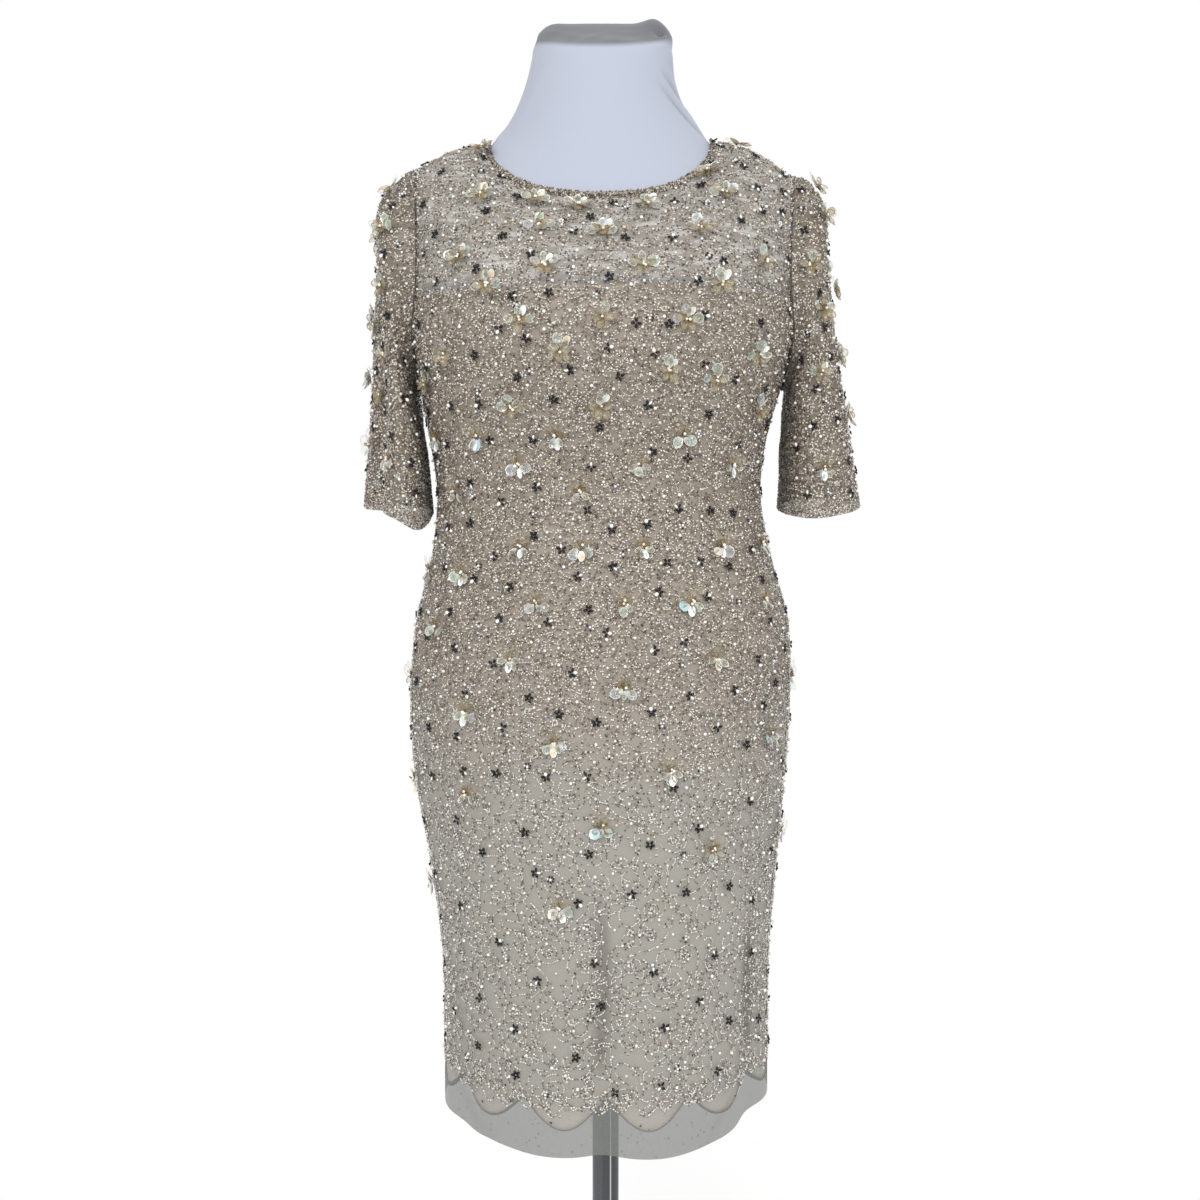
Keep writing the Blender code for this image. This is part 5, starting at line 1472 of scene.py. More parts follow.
def scattered(points, allowed, draw):
    """Picks points at random, no two nearer than the spacing for their height."""
    order = [key for key in np.ndindex(points.shape[:2]) if allowed(*key)]
    draw.shuffle(order)
    lowest = min(row.z for row in FLOWER_SPACING)
    chosen = []
    for key in order:
        place = points[key]
        if place[2] < lowest:
            continue
        apart = float(straight(FLOWER_SPACING, place[2], "z", "apart"))
        if all(np.linalg.norm(place - points[other]) > apart for other in chosen):
            chosen.append(key)
    return sorted(chosen)


def panel_flower(i, j):
    inside = 1 < i < COLUMNS - 1 and 1 < j < TOP_ROW
    near_side = i < UNDER_SLEEVE_COLUMNS or i > COLUMNS - UNDER_SLEEVE_COLUMNS
    under_sleeve = near_side and j > UNDERARM_ROW - UNDER_SLEEVE_ROWS
    return inside and not under_sleeve


def back_flower(i, j):
    return panel_flower(i, j) and abs(i - COLUMNS // 2) > 1


HIGHEST_FLOWER = TOP_ROW - 1.45     # a flower by the neckline sits this low, clear of the edge


def sequin_flower_places():
    """Where the part's source raises its flowers, as u and v on each surface."""
    places = {}
    for panel, grid, allowed, seed in (
        ("front", FRONT, panel_flower, FLOWER_SEED),
        ("back", BACK, back_flower, FLOWER_SEED + 1),
    ):
        picks = scattered(grid, allowed, random.Random(seed))
        places[panel] = np.array([(i / COLUMNS, min(j, HIGHEST_FLOWER)) for i, j in picks], float)
    for side, seed in (("left", FLOWER_SEED + 2), ("right", FLOWER_SEED + 3)):
        grid = sleeve_grid(side)
        count = grid.shape[0]

        def allowed(i, j, count=count):
            return 1 < j < SLEEVE_ROWS - 1 and abs((i / count) * 360 - 180) > SLEEVE_BARE

        picks = scattered(grid, allowed, random.Random(seed))
        places["sleeve_" + side] = np.array([(i / count, j) for i, j in picks], float)
    return places


def local_axes(surface, u, v):
    """At each place: down along the cloth, sideways, and the outward normal."""
    normal = surface.normal(u, v)
    down = unit(np.array([0.0, 0.0, -1.0]) + normal * normal[..., 2:])
    return down, np.cross(normal, down), normal


def turned(axes, turn, lift=0.0):
    """At an angle round a flower's middle: the way out along the cloth, the same lifted off
    it, and the way across."""
    down, side, normal = axes
    outward = math.cos(turn) * down + math.sin(turn) * side
    run = math.cos(lift) * outward + math.sin(lift) * normal
    return outward, run, np.cross(normal, outward)


# Petals of one kind in a sequin flower: how many, the angle of their middle from straight
# down and their spread to each side, how far from the flower's middle they start, their
# length and width, how far they lift off the cloth, their cup, and pairs of tint and edge.
Fan = namedtuple("Fan", "least most middle spread near far long wide tilt_low tilt_high cup tints")
VEILS = ((VEIL, VEIL_EDGE),)
GOLDS = ((AMBER, AMBER_EDGE), (CHAMPAGNE, CHAMPAGNE_EDGE), (CHAMPAGNE, AMBER_EDGE))
LEAVES = ((OLIVE, PALE_EDGE), (OLIVE, PALE_EDGE), (SMOKE, PALE_EDGE), (AMBER, AMBER_EDGE))
GLASSES = ((OLIVE, PALE_EDGE), (SMOKE, CLEAR_EDGE), (SMOKE, PALE_EDGE), (CHAMPAGNE, HEART_EDGE))
HEARTS = ((HEART, HEART_EDGE), (HEART, HEART_EDGE), (AMBER, AMBER_EDGE))
DISCS = ((CLEAR, CLEAR_EDGE), (MINT, CLEAR_EDGE), (LILAC, CLEAR_EDGE), (MINT, PALE_EDGE))
OPALS = DISCS + ((OPAL_MINT, OPAL_BLUE), (OPAL_GOLD, OPAL_PINK))
# white and pale sequins that stand for glints: painted highlights
SHINE = 3 * ((GLINT, GLINT),) + ((ICE, GLINT), (PALE, GLINT), (WARM, GLINT))
UPPER_FANS = (
    Fan(0, 2, 180, 150, 0.0020, 0.0040, 0.0140, 0.0110, 4, 18, 0.0020, VEILS),
    Fan(3, 5, 0, 125, 0.0008, 0.0026, 0.0118, 0.0080, 6, 28, 0.0028, GOLDS),
    Fan(1, 3, 180, 100, 0.0012, 0.0030, 0.0108, 0.0066, 8, 30, 0.0016, LEAVES),
    Fan(3, 5, 0, 180, 0.0004, 0.0014, 0.0058, 0.0030, 12, 38, 0.0012, HEARTS),
)
UPPER_DISCS = (
    Fan(1, 3, 180, 140, 0.0040, 0.0065, 0.0104, 0.0098, 4, 24, 0.0007, DISCS),
    Fan(0, 1, 150, 120, 0.0035, 0.0060, 0.0100, 0.0068, 6, 26, 0.0010, SHINE),
)
LOWER_FANS = (
    Fan(2, 3, 180, 80, 0.0015, 0.0035, 0.0150, 0.0116, 4, 16, 0.0018, VEILS),
    Fan(3, 5, 175, 115, 0.0004, 0.0014, 0.0064, 0.0033, 12, 34, 0.0012, HEARTS),
    Fan(2, 4, 0, 80, 0.0018, 0.0038, 0.0100, 0.0062, 5, 26, 0.0014, GLASSES),
)
LOWER_DISCS = (
    Fan(0, 2, 0, 110, 0.0030, 0.0055, 0.0104, 0.0100, 4, 22, 0.0008, OPALS),
    Fan(0, 1, 5, 55, 0.0028, 0.0046, 0.0106, 0.0064, 8, 24, 0.0010, SHINE),
)
LOWER_FLOWERS_Z = 1.14
RIB_HALF_LENGTH = (0.0032, 0.0058)
RIB_HALF_SIZE = (0.00045, 0.0003)


def add_fan(stamps, fan, place, axes, draw):
    """Petals of one kind round a flower's middle, each lifted off the cloth."""
    count = draw.randint(fan.least, fan.most)
    for k in range(count):
        even = (k + 0.5) / count * 2 - 1
        turn = math.radians(fan.middle + even * fan.spread + draw.uniform(-14, 14))
        lift = math.radians(draw.uniform(fan.tilt_low, fan.tilt_high))
        outward, run, across = turned(axes, turn, lift)
        roll = math.radians(draw.uniform(-25, 25))
        face = np.cross(run, across)
        across, face = (
            math.cos(roll) * across + math.sin(roll) * face,
            math.cos(roll) * face - math.sin(roll) * across,
        )
        scale = draw.uniform(0.86, 1.12)
        start = place + outward * draw.uniform(fan.near, fan.far)
        start = start + axes[2] * draw.uniform(0.0014, 0.0032)
        size = (fan.long * scale, fan.wide * scale, fan.cup)
        tint, edge = draw.choice(fan.tints)
        stamps.add(start, np.stack([run, across, face]), size, tint, edge)


def add_ribs(ribs, place, axes, draw):
    """Fine dark ribs that spread upward from a lower flower's heart."""
    for _ in range(draw.randint(5, 8)):
        turn = math.radians(180 + draw.uniform(-80, 80))
        outward, run, across = turned(axes, turn, math.radians(draw.uniform(6, 16)))
        half = draw.uniform(*RIB_HALF_LENGTH)
        start = place + outward * 0.0012 + axes[2] * 0.0024
        along_rib = np.stack([run, across, np.cross(run, across)])
        ribs.add(start + run * half, along_rib, (half, *RIB_HALF_SIZE), RIB)


def make_sequin_flowers(name, surface, spots, seed):
    petals, discs, pearls, ribs = Stamps(PETAL), Stamps(PETAL), Stamps(ROUND), Stamps(SEED)
    draw = random.Random(seed)
    for u, v in spots:
        place = surface.at(u, v)
        axes = local_axes(surface, u, v)
        upper = place[2] > LOWER_FLOWERS_Z
        for fan in UPPER_FANS if upper else LOWER_FANS:
            add_fan(petals, fan, place, axes, draw)
        for fan in UPPER_DISCS if upper else LOWER_DISCS:
            add_fan(discs, fan, place, axes, draw)
        if not upper:
            add_ribs(ribs, place, axes, draw)
        down, side, normal = axes
        for _ in range(draw.randint(1, 3)):
            aside = side * draw.uniform(-0.0022, 0.0022) + down * draw.uniform(-0.0022, 0.0022)
            radius = draw.uniform(0.0013, 0.0018)
            middle = place + normal * (0.0040 + radius) + aside
            pearls.add(middle, np.eye(3), radius, draw.choice((GOLD_PEARL, PINK_PEARL, WHITE)))
    made = [
        petals.make(name + "_sequin_flowers", "petals", True),
        discs.make(name + "_clear_sequins", "sequins", True),
        pearls.make(name + "_flower_pearls", "pearls", True),
    ]
    if ribs.places:
        made.append(ribs.make(name + "_flower_ribs", "petals", False))
    return made


class Spread:
    """Random places on a surface between two levels, even over its area."""

    CELLS = 80

    def __init__(self, surface, low, high, draw):
        self.draw = draw
        shares = (np.arange(self.CELLS) + 0.5) / self.CELLS
        u, v = np.meshgrid(shares, low + (high - low) * shares, indexing="ij")
        self.u, self.v = u.ravel(), v.ravel()
        across, upward = surface.scales(self.u, self.v)
        self.weights = across * upward / (across * upward).sum()
        self.tall = (high - low) / self.CELLS

    def pick(self, count):
        chosen = self.draw.choice(len(self.weights), count, p=self.weights)
        aside, above = self.draw.uniform(-0.5, 0.5, (2, count))
        return self.u[chosen] + aside / self.CELLS, self.v[chosen] + above * self.tall


def nearest_gaps(places, others):
    """How far each place is from the nearest of the others."""
    tree = KDTree(len(others))
    for index, other in enumerate(others):
        tree.insert(other, index)
    tree.balance()
    return np.array([tree.find(place)[2] for place in places])


def spaced(surface, limits, apart, clear, seed, tries):
    """Random places that keep apart from each other, and clear of others by rooms of their own."""
    draw = np.random.default_rng(seed)
    u, v = Spread(surface, *limits, draw).pick(tries)
    uneven = draw.uniform(0.80, 1.40, tries)
    places = surface.at(u, v)
    good = (places[:, 2] > BEAD_EDGE_Z + 0.008) & (surface.closed | (u > 0.012) & (u < 0.988))
    if surface.closed:
        good &= inner_shade(u) < 0.3
    for others, room in clear:
        good &= nearest_gaps(places, others) > room
    chosen = []
    for index in np.flatnonzero(good):
        place = places[index]
        gaps = np.linalg.norm(places[chosen] - place, axis=1)
        if not len(gaps) or gaps.min() > apart(place[2]) * uneven[index]:
            chosen.append(index)
    return np.stack([u[chosen], v[chosen]], axis=1)


NAVETTE = 0.0026         # half length of a dark stone
BRIGHT_PLUMP = 0.32      # share of the dark flowers with a wide bright stone
BRIGHT_SLIM = 0.62       # and with a bright stone of either kind


def make_dark_flowers(name, surface, spots, seed):
    """Four or five dark navette stones, and in most of the flowers a bright one too, a white stone for a
    clear crystal with a painted highlight.
    """
    stones = Stamps(ROUND)
    draw = random.Random(seed)
    for u, v in spots:
        place = surface.at(u, v, 0.0012)
        axes = local_axes(surface, u, v)
        count, luck = draw.choice((4, 5, 5, 5)), draw.random()
        first = draw.uniform(0, 360 / count)
        bright = draw.randint(0, count - 1) if luck < BRIGHT_SLIM else None
        for k in range(count):
            turn = math.radians(first + 360 * k / count + draw.uniform(-9, 9))
            _, run, aside = turned(axes, turn, math.radians(draw.uniform(-4, 16)))
            long, wide = NAVETTE * draw.uniform(0.88, 1.0), 0.64
            tint = draw.choice((BLACK, BLACK, BLACK, COAL))
            # the bright stone is painted white, as a highlight
            if k == bright:
                wide, tint = (0.84 if luck < BRIGHT_PLUMP else 0.52), WHITE
            stone = np.stack([run, aside, np.cross(run, aside)])
            stones.add(place + run * (long + 0.0005), stone, (long, long * wide, 0.0010), tint)
    return stones.make(name + "_dark_flowers", "stones", False)


def make_rosettes(name, surface, spots, seed):
    """Small grey rhinestone rosettes: a ring of round stones and one in the middle."""
    stones = Stamps(ROUND)
    draw = random.Random(seed)
    for u, v in spots:
        place = surface.at(u, v, 0.0010)
        axes = local_axes(surface, u, v)
        count = draw.randint(6, 7)
        for k in range(count):
            outward = turned(axes, 2 * math.pi * k / count)[0]
            tint = draw.choice((SILVER, GREY, COAL))
            stones.add(place + outward * 0.0030, np.eye(3), 0.0012, tint)
        stones.add(place + axes[2] * 0.0005, np.eye(3), 0.0014, WHITE)
    return stones.make(name + "_rosettes", "stones", False)


# Small beads: share, half length and half thickness, their own colour as tint, and rim, the colour of
# their painted shade.
Bead = namedtuple("Bead", "share long thick tint rim")
BODICE_BEADS = (
    Bead(0.09, 0.00120, 0.00110, WHITE, DARK),
    Bead(0.32, 0.00145, 0.00095, CREAM, DARK),
    Bead(0.20, 0.00145, 0.00095, TAUPE, DARK),
    Bead(0.12, 0.00115, 0.00105, SILVER, DARK),
    Bead(0.27, 0.00130, 0.00090, BROWN, DARK),
)
SKIRT_BEADS = (
    Bead(0.42, 0.00150, 0.00068, SILVER, TAUPE),
    Bead(0.16, 0.00150, 0.00068, CREAM, BROWN),
    Bead(0.30, 0.00105, 0.00092, BROWN, DARK),
    Bead(0.12, 0.00115, 0.00105, WHITE, BROWN),
)
# Beads follow each other along a line in this order, by their place in the table above.
SKIRT_ORDER = (0, 0, 2, 0, 1, 2, 2, 3)
BODICE_ORDER = (1, 1, 4, 4, 1, 1, 1, 4, 2, 2, 4, 0, 3, 3, 4)
# Beading in zones: levels from low to high, the room that a bead keeps for its line, the
# step along the line, how tightly the line curls (in radians a step) and how much it varies.
Zone = namedtuple("Zone", "low high cell step curl wander walkers rounds beads order")
BODY_ZONES = (
    Zone(1.0, 19.0, 0.0052, 0.0025, 0.22, 0.16, 200, 120, SKIRT_BEADS, SKIRT_ORDER),
    Zone(11.0, 39.95, 0.0038, 0.0027, 0.16, 0.50, 460, 95, BODICE_BEADS, BODICE_ORDER),
)
SLEEVE_ZONES = (
    Zone(0.10, 13.95, 0.0038, 0.0027, 0.16, 0.50, 200, 80, BODICE_BEADS, BODICE_ORDER),
)
TURNS = (0.0, 0.35, -0.35, 0.7, -0.7, 1.1, -1.1, 1.6, -1.6)
FEATHER = 8.0            # levels over which one zone fades into the next


def bead_edge(u):
    """The beading's irregular lower edge."""
    fine = 0.0035 * np.sin(u * 61) + 0.0025 * np.sin(u * 137 + 1.0)
    return BEAD_EDGE_Z + (fine + 0.006 * np.cos(u * 2 * math.pi))


def in_bands(place, draw):
    """The beads lie in wavy rows with plain wisps between them, most of all in the yoke."""
    x, y, z = place.T
    wave = z + 0.004 * np.sin(x * 34) + 0.003 * np.sin(x * 71 + z * 40) + 0.05 * y * np.sin(x * 9)
    band = np.tanh(np.sin(wave * 2 * math.pi / 0.015) * 3 + 0.8)
    patchy = 0.5 + 0.5 * np.sin(x * 23 + z * 31) * np.sin(z * 17 - x * 11)
    depth = 0.07 + 0.13 * patchy * smooth_step((z - 0.8) / 0.2)
    depth = depth + 0.27 * smooth_step((z - 1.26) / 0.02)
    return draw.random(len(z)) < 1 - depth + depth * band


class Meander:
    """Lines of beads that wander over a surface and keep clear of each other."""

    def __init__(self, surface, zone, seed):
        self.surface, self.zone = surface, zone
        self.draw = np.random.default_rng(seed)
        self.spread = Spread(surface, zone.low, zone.high, self.draw)
        self.low = surface.points.reshape(-1, 3).min(axis=0) - zone.cell
        size = surface.points.reshape(-1, 3).max(axis=0) - self.low
        self.shape = (size / zone.cell).astype(int) + 2
        self.owner = np.full(int(np.prod(self.shape)), -1)
        self.when = np.zeros(int(np.prod(self.shape)), int)

    def cells(self, place):
        key = ((place - self.low) / self.zone.cell).astype(int)
        return (key[:, 0] * self.shape[1] + key[:, 1]) * self.shape[2] + key[:, 2]

    def allowed(self, u, v, place):
        zone = self.zone
        inside = (v > zone.low) & (v < zone.high)
        if not self.surface.closed:
            inside &= (u > 0.003) & (u < 0.997)
        return inside & (place[:, 2] > bead_edge(u))

    def free(self, cell, ids, turn):
        own = (self.owner[cell] == ids) & (self.when[cell] >= turn - 2)
        return (self.owner[cell] < 0) | own

    def run(self):
        """Beads as u, v, heading and place in their line."""
        zone, draw, surface = self.zone, self.draw, self.surface
        count = zone.walkers
        ids = np.arange(count)
        u, v = self.spread.pick(count)
        heading = draw.uniform(0, 2 * math.pi, count)
        curl = draw.choice([-1, 1], count) * zone.curl
        found = []
        for turn in range(zone.rounds):
            curl = curl + draw.normal(0, zone.wander * 0.35, count)
            curl = np.clip(curl, -2.2 * zone.curl - 0.25, 2.2 * zone.curl + 0.25)
            across, upward = surface.scales(u, v)
            hand = np.sign(curl)
            moved = np.zeros(count, bool)
            next_u, next_v, next_heading = u.copy(), v.copy(), heading.copy()
            for offset in TURNS:
                trial = heading + curl + hand * offset + draw.normal(0, zone.wander * 0.4, count)
                try_u = u + np.cos(trial) * zone.step / across
                try_v = v + np.sin(trial) * zone.step / upward
                place = surface.at(try_u, try_v)
                good = ~moved & self.allowed(try_u, try_v, place)
                good &= self.free(self.cells(place), ids, turn)
                next_u[good], next_v[good], next_heading[good] = try_u[good], try_v[good], trial[good]
                moved |= good
            lost = ~moved
            next_u[lost], next_v[lost] = self.spread.pick(lost.sum())
            place = surface.at(next_u, next_v)
            cell = self.cells(place)
            good = self.allowed(next_u, next_v, place) & self.free(cell, ids, turn)
            _, first = np.unique(cell, return_index=True)
            alone = np.zeros(count, bool)
            alone[first] = True
            good &= alone
            self.owner[cell[good]], self.when[cell[good]] = ids[good], turn
            ids[lost] = ids.max() + 1 + np.arange(lost.sum())
            if surface.closed:
                next_u %= 1.0
            u, v, heading = next_u, next_v, next_heading
            in_line = turn + 3 * ids[good]
            found.append(np.stack([u[good], v[good], heading[good], in_line], axis=1))
        return np.concatenate(found)


def make_beads(name, surface, zones, clear, seed):
    """All small beads of a surface, in one mesh for each zone."""
    made = []
    for k, zone in enumerate(zones):
        walk = Meander(surface, zone, seed + k).run()
        draw = np.random.default_rng(seed + 50 + k)
        u, v, heading, in_line = walk.T
        place = surface.at(u, v)
        keep = in_bands(place, draw)
        for others, room in clear:
            keep &= nearest_gaps(place, others) > room
        if len(zones) > 1:
            middle = (zones[0].high + zones[1].low) / 2
            share = smooth_step((v - middle) / FEATHER + 0.5)
            keep &= draw.random(len(v)) < (1 - share if k == 0 else share)
        u, v, heading, in_line = walk[keep].T
        kinds = draw.choice(len(zone.beads), len(u), p=[bead.share for bead in zone.beads])
        if zone.order:
            ordered = np.array(zone.order)[in_line.astype(int) % len(zone.order)]
            kinds = np.where(draw.random(len(u)) < 0.85, ordered, kinds)
        run, normal = surface.heading(u, v, heading), surface.normal(u, v)
        axes = seed_axes(run, normal)
        # beads on a sleeve's inner side are painted darker, as shade
        shade = 1 - 0.55 * inner_shade(u) if surface.closed else np.ones(len(u))
        seeds = Stamps(SEED)
        for index, bead in enumerate(zone.beads):
            chosen = kinds == index
            count = chosen.sum()
            scale = draw.uniform(0.88, 1.12, count)[:, None]
            size = np.array([bead.long, bead.thick, bead.thick * 0.9]) * scale
            bright = (draw.uniform(0.85, 1.10, count) * shade[chosen])[:, None]
            tint, rim = (np.clip(np.array(c) * bright, 0, 1) for c in (bead.tint, bead.rim))
            tint[:, 3], rim[:, 3] = 1.0, 1.0
            seeds.add(surface.at(u[chosen], v[chosen]), axes[chosen], size, tint, rim)
        part = "_beads" if len(zones) == 1 else ("_skirt_beads", "_bodice_beads")[k]
        made.append(seeds.make(name + part, "beads", True))
    return made


def make_pearls(name, surface, spots, seed):
    stones = Stamps(ROUND)
    draw = random.Random(seed)
    for u, v in spots:
        radius = draw.uniform(0.0012, 0.0019)
        tint = draw.choice((CREAM, PINK_PEARL, PINK_PEARL, WHITE, WHITE))
        stones.add(surface.at(u, v, radius * 0.8), np.eye(3), radius, tint)
    return stones.make(name + "_pearls", "pearls", True)


def dark_gap(z):
    return 0.0315 + 0.015 * float(smooth_step((1.0 - z) / 0.35))


def rosette_gap(z):
    return 0.055 if z > 0.8 else 0.09


def pearl_gap(z):
    return 0.0125 + 0.0015 * float(smooth_step((1.0 - z) / 0.35))


DARK_TRIES = 2600
ROSETTE_TRIES = 900
PEARL_TRIES = 5200
SLEEVE_PEARL_TRIES = 1800


def make_trimmings():
    """Everything sewn on the cloth, for each surface: returns the pieces by surface."""
    pieces = {}
    flower_spots = sequin_flower_places()
    for index, (name, surface) in enumerate(SURFACES.items()):
        seed = 100 * (index + 1)
        closed = surface.closed
        limits = (0.5, SLEEVE_ROWS - 0.5) if closed else (1.5, TOP_ROW - 0.3)
        sequins = flower_spots[name]
        made = make_sequin_flowers(name, surface, sequins, seed)
        at_sequins = surface.at(*sequins.T)
        clear = [(at_sequins, 0.014)]
        dark = spaced(surface, limits, dark_gap, clear, seed + 1, DARK_TRIES)
        made.append(make_dark_flowers(name, surface, dark, seed + 2))
        at_dark = surface.at(*dark.T)
        clear = clear + [(at_dark, 0.010)]
        rosettes = spaced(surface, limits, rosette_gap, clear, seed + 3, ROSETTE_TRIES)
        made.append(make_rosettes(name, surface, rosettes, seed + 4))
        at_rosettes = surface.at(*rosettes.T)
        clear = [(places, 0.006) for places in (at_sequins, at_dark, at_rosettes)]
        tries = SLEEVE_PEARL_TRIES if closed else PEARL_TRIES
        pearls = spaced(surface, limits, pearl_gap, clear, seed + 5, tries)
        made.append(make_pearls(name, surface, pearls, seed + 6))
        at_pearls = surface.at(*pearls.T)
        clear = [(at_sequins, 0.003), (at_dark, 0.0042), (at_rosettes, 0.0045), (at_pearls, 0.0022)]
        zones = SLEEVE_ZONES if closed else BODY_ZONES
        made += make_beads(name, surface, zones, clear, seed + 7)
        if closed:
            made.append(make_cuff_beads(name))
        else:
            made.append(make_hem_loops(name, surface, seed + 9))
        pieces[name] = made
    return pieces


LOOP_ROWS = 2            # rows of loops along the beading's lower edge
LOOP_WIDE = (0.014, 0.027)
LOOP_DROP = (0.008, 0.015)
LOOP_STEP = 0.0023       # from bead to bead
LOOP_RISE = 0.008        # how far the lowest row starts above the edge
LOOP_APART = 0.010
LOOP_ROUND = (0.00115, 0.00115, 0.0010)
LOOP_LONG = (0.00140, 0.00068, 0.0006)


def make_hem_loops(name, surface, seed):
    """Loops of beads along the beading's lower edge, over the notches of the lining."""
    draw = np.random.default_rng(seed)
    seeds = Stamps(SEED)
    tints = np.array([SILVER, SILVER, BROWN, CREAM, TAUPE, WHITE])
    span = float(surface.scales(0.5, 2.0)[0])
    for row in range(LOOP_ROWS):
        start = draw.uniform(0.005, 0.03)
        while start < 0.965:
            wide, drop = draw.uniform(*LOOP_WIDE) / span, draw.uniform(*LOOP_DROP)
            count = int((wide * span + 2 * drop) / LOOP_STEP)
            turn = np.linspace(0, math.pi, count)
            u = np.minimum(start + wide * (1 - np.cos(turn)) / 2, 0.995)
            fall = drop * np.sin(turn) ** 0.6 + draw.normal(0, 0.0005, count)
            z = bead_edge(u) + LOOP_RISE + LOOP_APART * row + draw.uniform(-0.002, 0.002) - fall
            v = (z - HEM_Z) / ROW_TALL
            places = surface.at(u, v)
            run = unit(np.gradient(places, axis=0))
            colour = tints[(np.arange(count) + draw.integers(6)) % len(tints)]
            size = np.where(colour[:, :1] > 0.9, [LOOP_ROUND], [LOOP_LONG])
            seeds.add(places, seed_axes(run, surface.normal(u, v)), size, colour, BROWN)
            start += wide * draw.uniform(0.8, 1.25)
    return seeds.make(name + "_hem_loops", "beads", True)


# Beads along an edge: how many, their half sizes, and the seed of their random draws.
EdgeBeads = namedtuple("EdgeBeads", "count size seed")
ARMHOLE_BEADS = EdgeBeads(560, (0.0015, 0.0010, 0.0010), 31)
CUFF_BEADS = EdgeBeads(620, (0.00120, 0.00080, 0.00075), 21)
NECK_BEADS = EdgeBeads(2400, (0.00160, 0.00115, 0.00110), 11)


def lying(normal, forward, turn):
    """Unit vectors along the cloth, turned by these angles from forward."""
    turn = turn[:, None]
    return unit(np.cos(turn) * forward + np.sin(turn) * np.cross(normal, forward))


def make_armhole_beads():
    """Beads over the armhole seams, mixed over the shoulders and dark low down, where they also paint
    the shadow between sleeve and body.
    """
    count = ARMHOLE_BEADS.count
    draw = np.random.default_rng(ARMHOLE_BEADS.seed)
    seeds = Stamps(SEED)
    mixed, dark = np.array([CREAM, TAUPE, BROWN, WHITE]), np.array([BROWN, DARK, TAUPE, DARK])
    for u in (0.0, 1.0):
        path, normals = armhole_path(u)
        passed = run_length(path)
        where = draw.uniform(0, passed[-1], count)
        place, normal = read_at(where, passed, path), unit(read_at(where, passed, normals))
        forward = unit(read_at(where + 0.002, passed, path) - place + 1e-6)
        beside = np.cross(normal, forward) * draw.uniform(-0.0026, 0.0026, count)[:, None]
        run = lying(normal, forward, draw.uniform(0, math.pi, count))
        pick = draw.integers(4, size=count)
        low = draw.random(count) < armhole_low(place)
        tint = np.where(low[:, None], dark[pick], mixed[pick])
        place = place + beside + normal * 0.0004
        seeds.add(place, seed_axes(run, normal), ARMHOLE_BEADS.size, tint, DARK)
    return seeds.make("armhole_beads", "beads", True)


def make_cuff_beads(name):
    """Rows of beads down to the cuff's edge."""
    surface, count = SURFACES[name], CUFF_BEADS.count
    draw = np.random.default_rng(CUFF_BEADS.seed)
    u = draw.random(count)
    v = SLEEVE_ROWS - 0.02 - 0.55 * draw.random(count) ** 1.5
    run = surface.heading(u, v, draw.uniform(0, math.pi, count))
    axes = seed_axes(run, surface.normal(u, v))
    tints = np.array([CREAM, BROWN, TAUPE, WHITE])[draw.choice(4, count, p=[0.3, 0.25, 0.3, 0.15])]
    seeds = Stamps(SEED)
    seeds.add(surface.at(u, v), axes, CUFF_BEADS.size, tints, DARK)
    return seeds.make(name + "_cuff_beads", "beads", True)


def make_neck_beads():
    """Small beads over the neckline's edge, close and uneven."""
    loop = neck_loop()
    passed = run_length(loop[0])
    draw = np.random.default_rng(NECK_BEADS.seed)
    where = np.sort(draw.uniform(0.001, passed[-1] - 0.001, NECK_BEADS.count))
    edge, normals, upward = (read_at(where, passed, rows) for rows in loop)
    rise = draw.uniform(-0.0035, BINDING_START + BINDING_TALL + 0.0004, len(where))[:, None]
    places = edge + unit(normals) * BINDING_HALF + upward * rise
    tints = np.array([CREAM, TAUPE, BROWN, DARK, WHITE])
    tints = tints[draw.choice(5, len(places), p=[0.22, 0.28, 0.24, 0.16, 0.10])]
    normal = unit(normals + upward * 0.3)
    side = unit(np.cross(normal, upward))
    run = lying(normal, side, draw.uniform(0, math.pi, len(places)))
    seeds = Stamps(SEED)
    seeds.add(places, seed_axes(run, normal), NECK_BEADS.size, tints, DARK)
    return seeds.make("neckline_beads", "beads", True)


# ------------------------------------------------------------------ dress form and stand


# Folds in the jersey on both sides of the neck. Here u is x, in metres.
JERSEY_FOLDS = (
    Crease(0.053, 1.499, 0.110, 1.441, 0.0021, -0.0026, 0.0),
    Crease(0.049, 1.486, 0.112, 1.427, 0.0021, -0.0022, 0.0),
    Crease(0.052, 1.492, 0.111, 1.434, 0.0026, 0.0016, 0.0),
    Crease(0.062, 1.512, 0.104, 1.458, 0.0024, -0.0014, 0.0),
    Crease(-0.056, 1.505, -0.098, 1.430, 0.0060, 0.0012, 0.0),
)
FOLD_DEPTH = 0.0030      # a trough of this depth takes all of the troughs' painted shade
KNOT = (0.050, 1.548)
KNOT_TALL = 0.0070
KNOT_WIDE = 0.013
DIMPLE = (0.055, 1.540)
DIMPLE_WIDE = 0.0036
DIMPLE_DEPTH = 0.0060
CORNER = (-0.054, 1.535)     # where the top's left corner is fuller
CORNER_TALL = 0.0020
CORNER_WIDE = 0.012
TOP_LIFT = 0.0015
FINE_NECK_Z = 1.3475     # the form is finer from here up, just inside the neckline


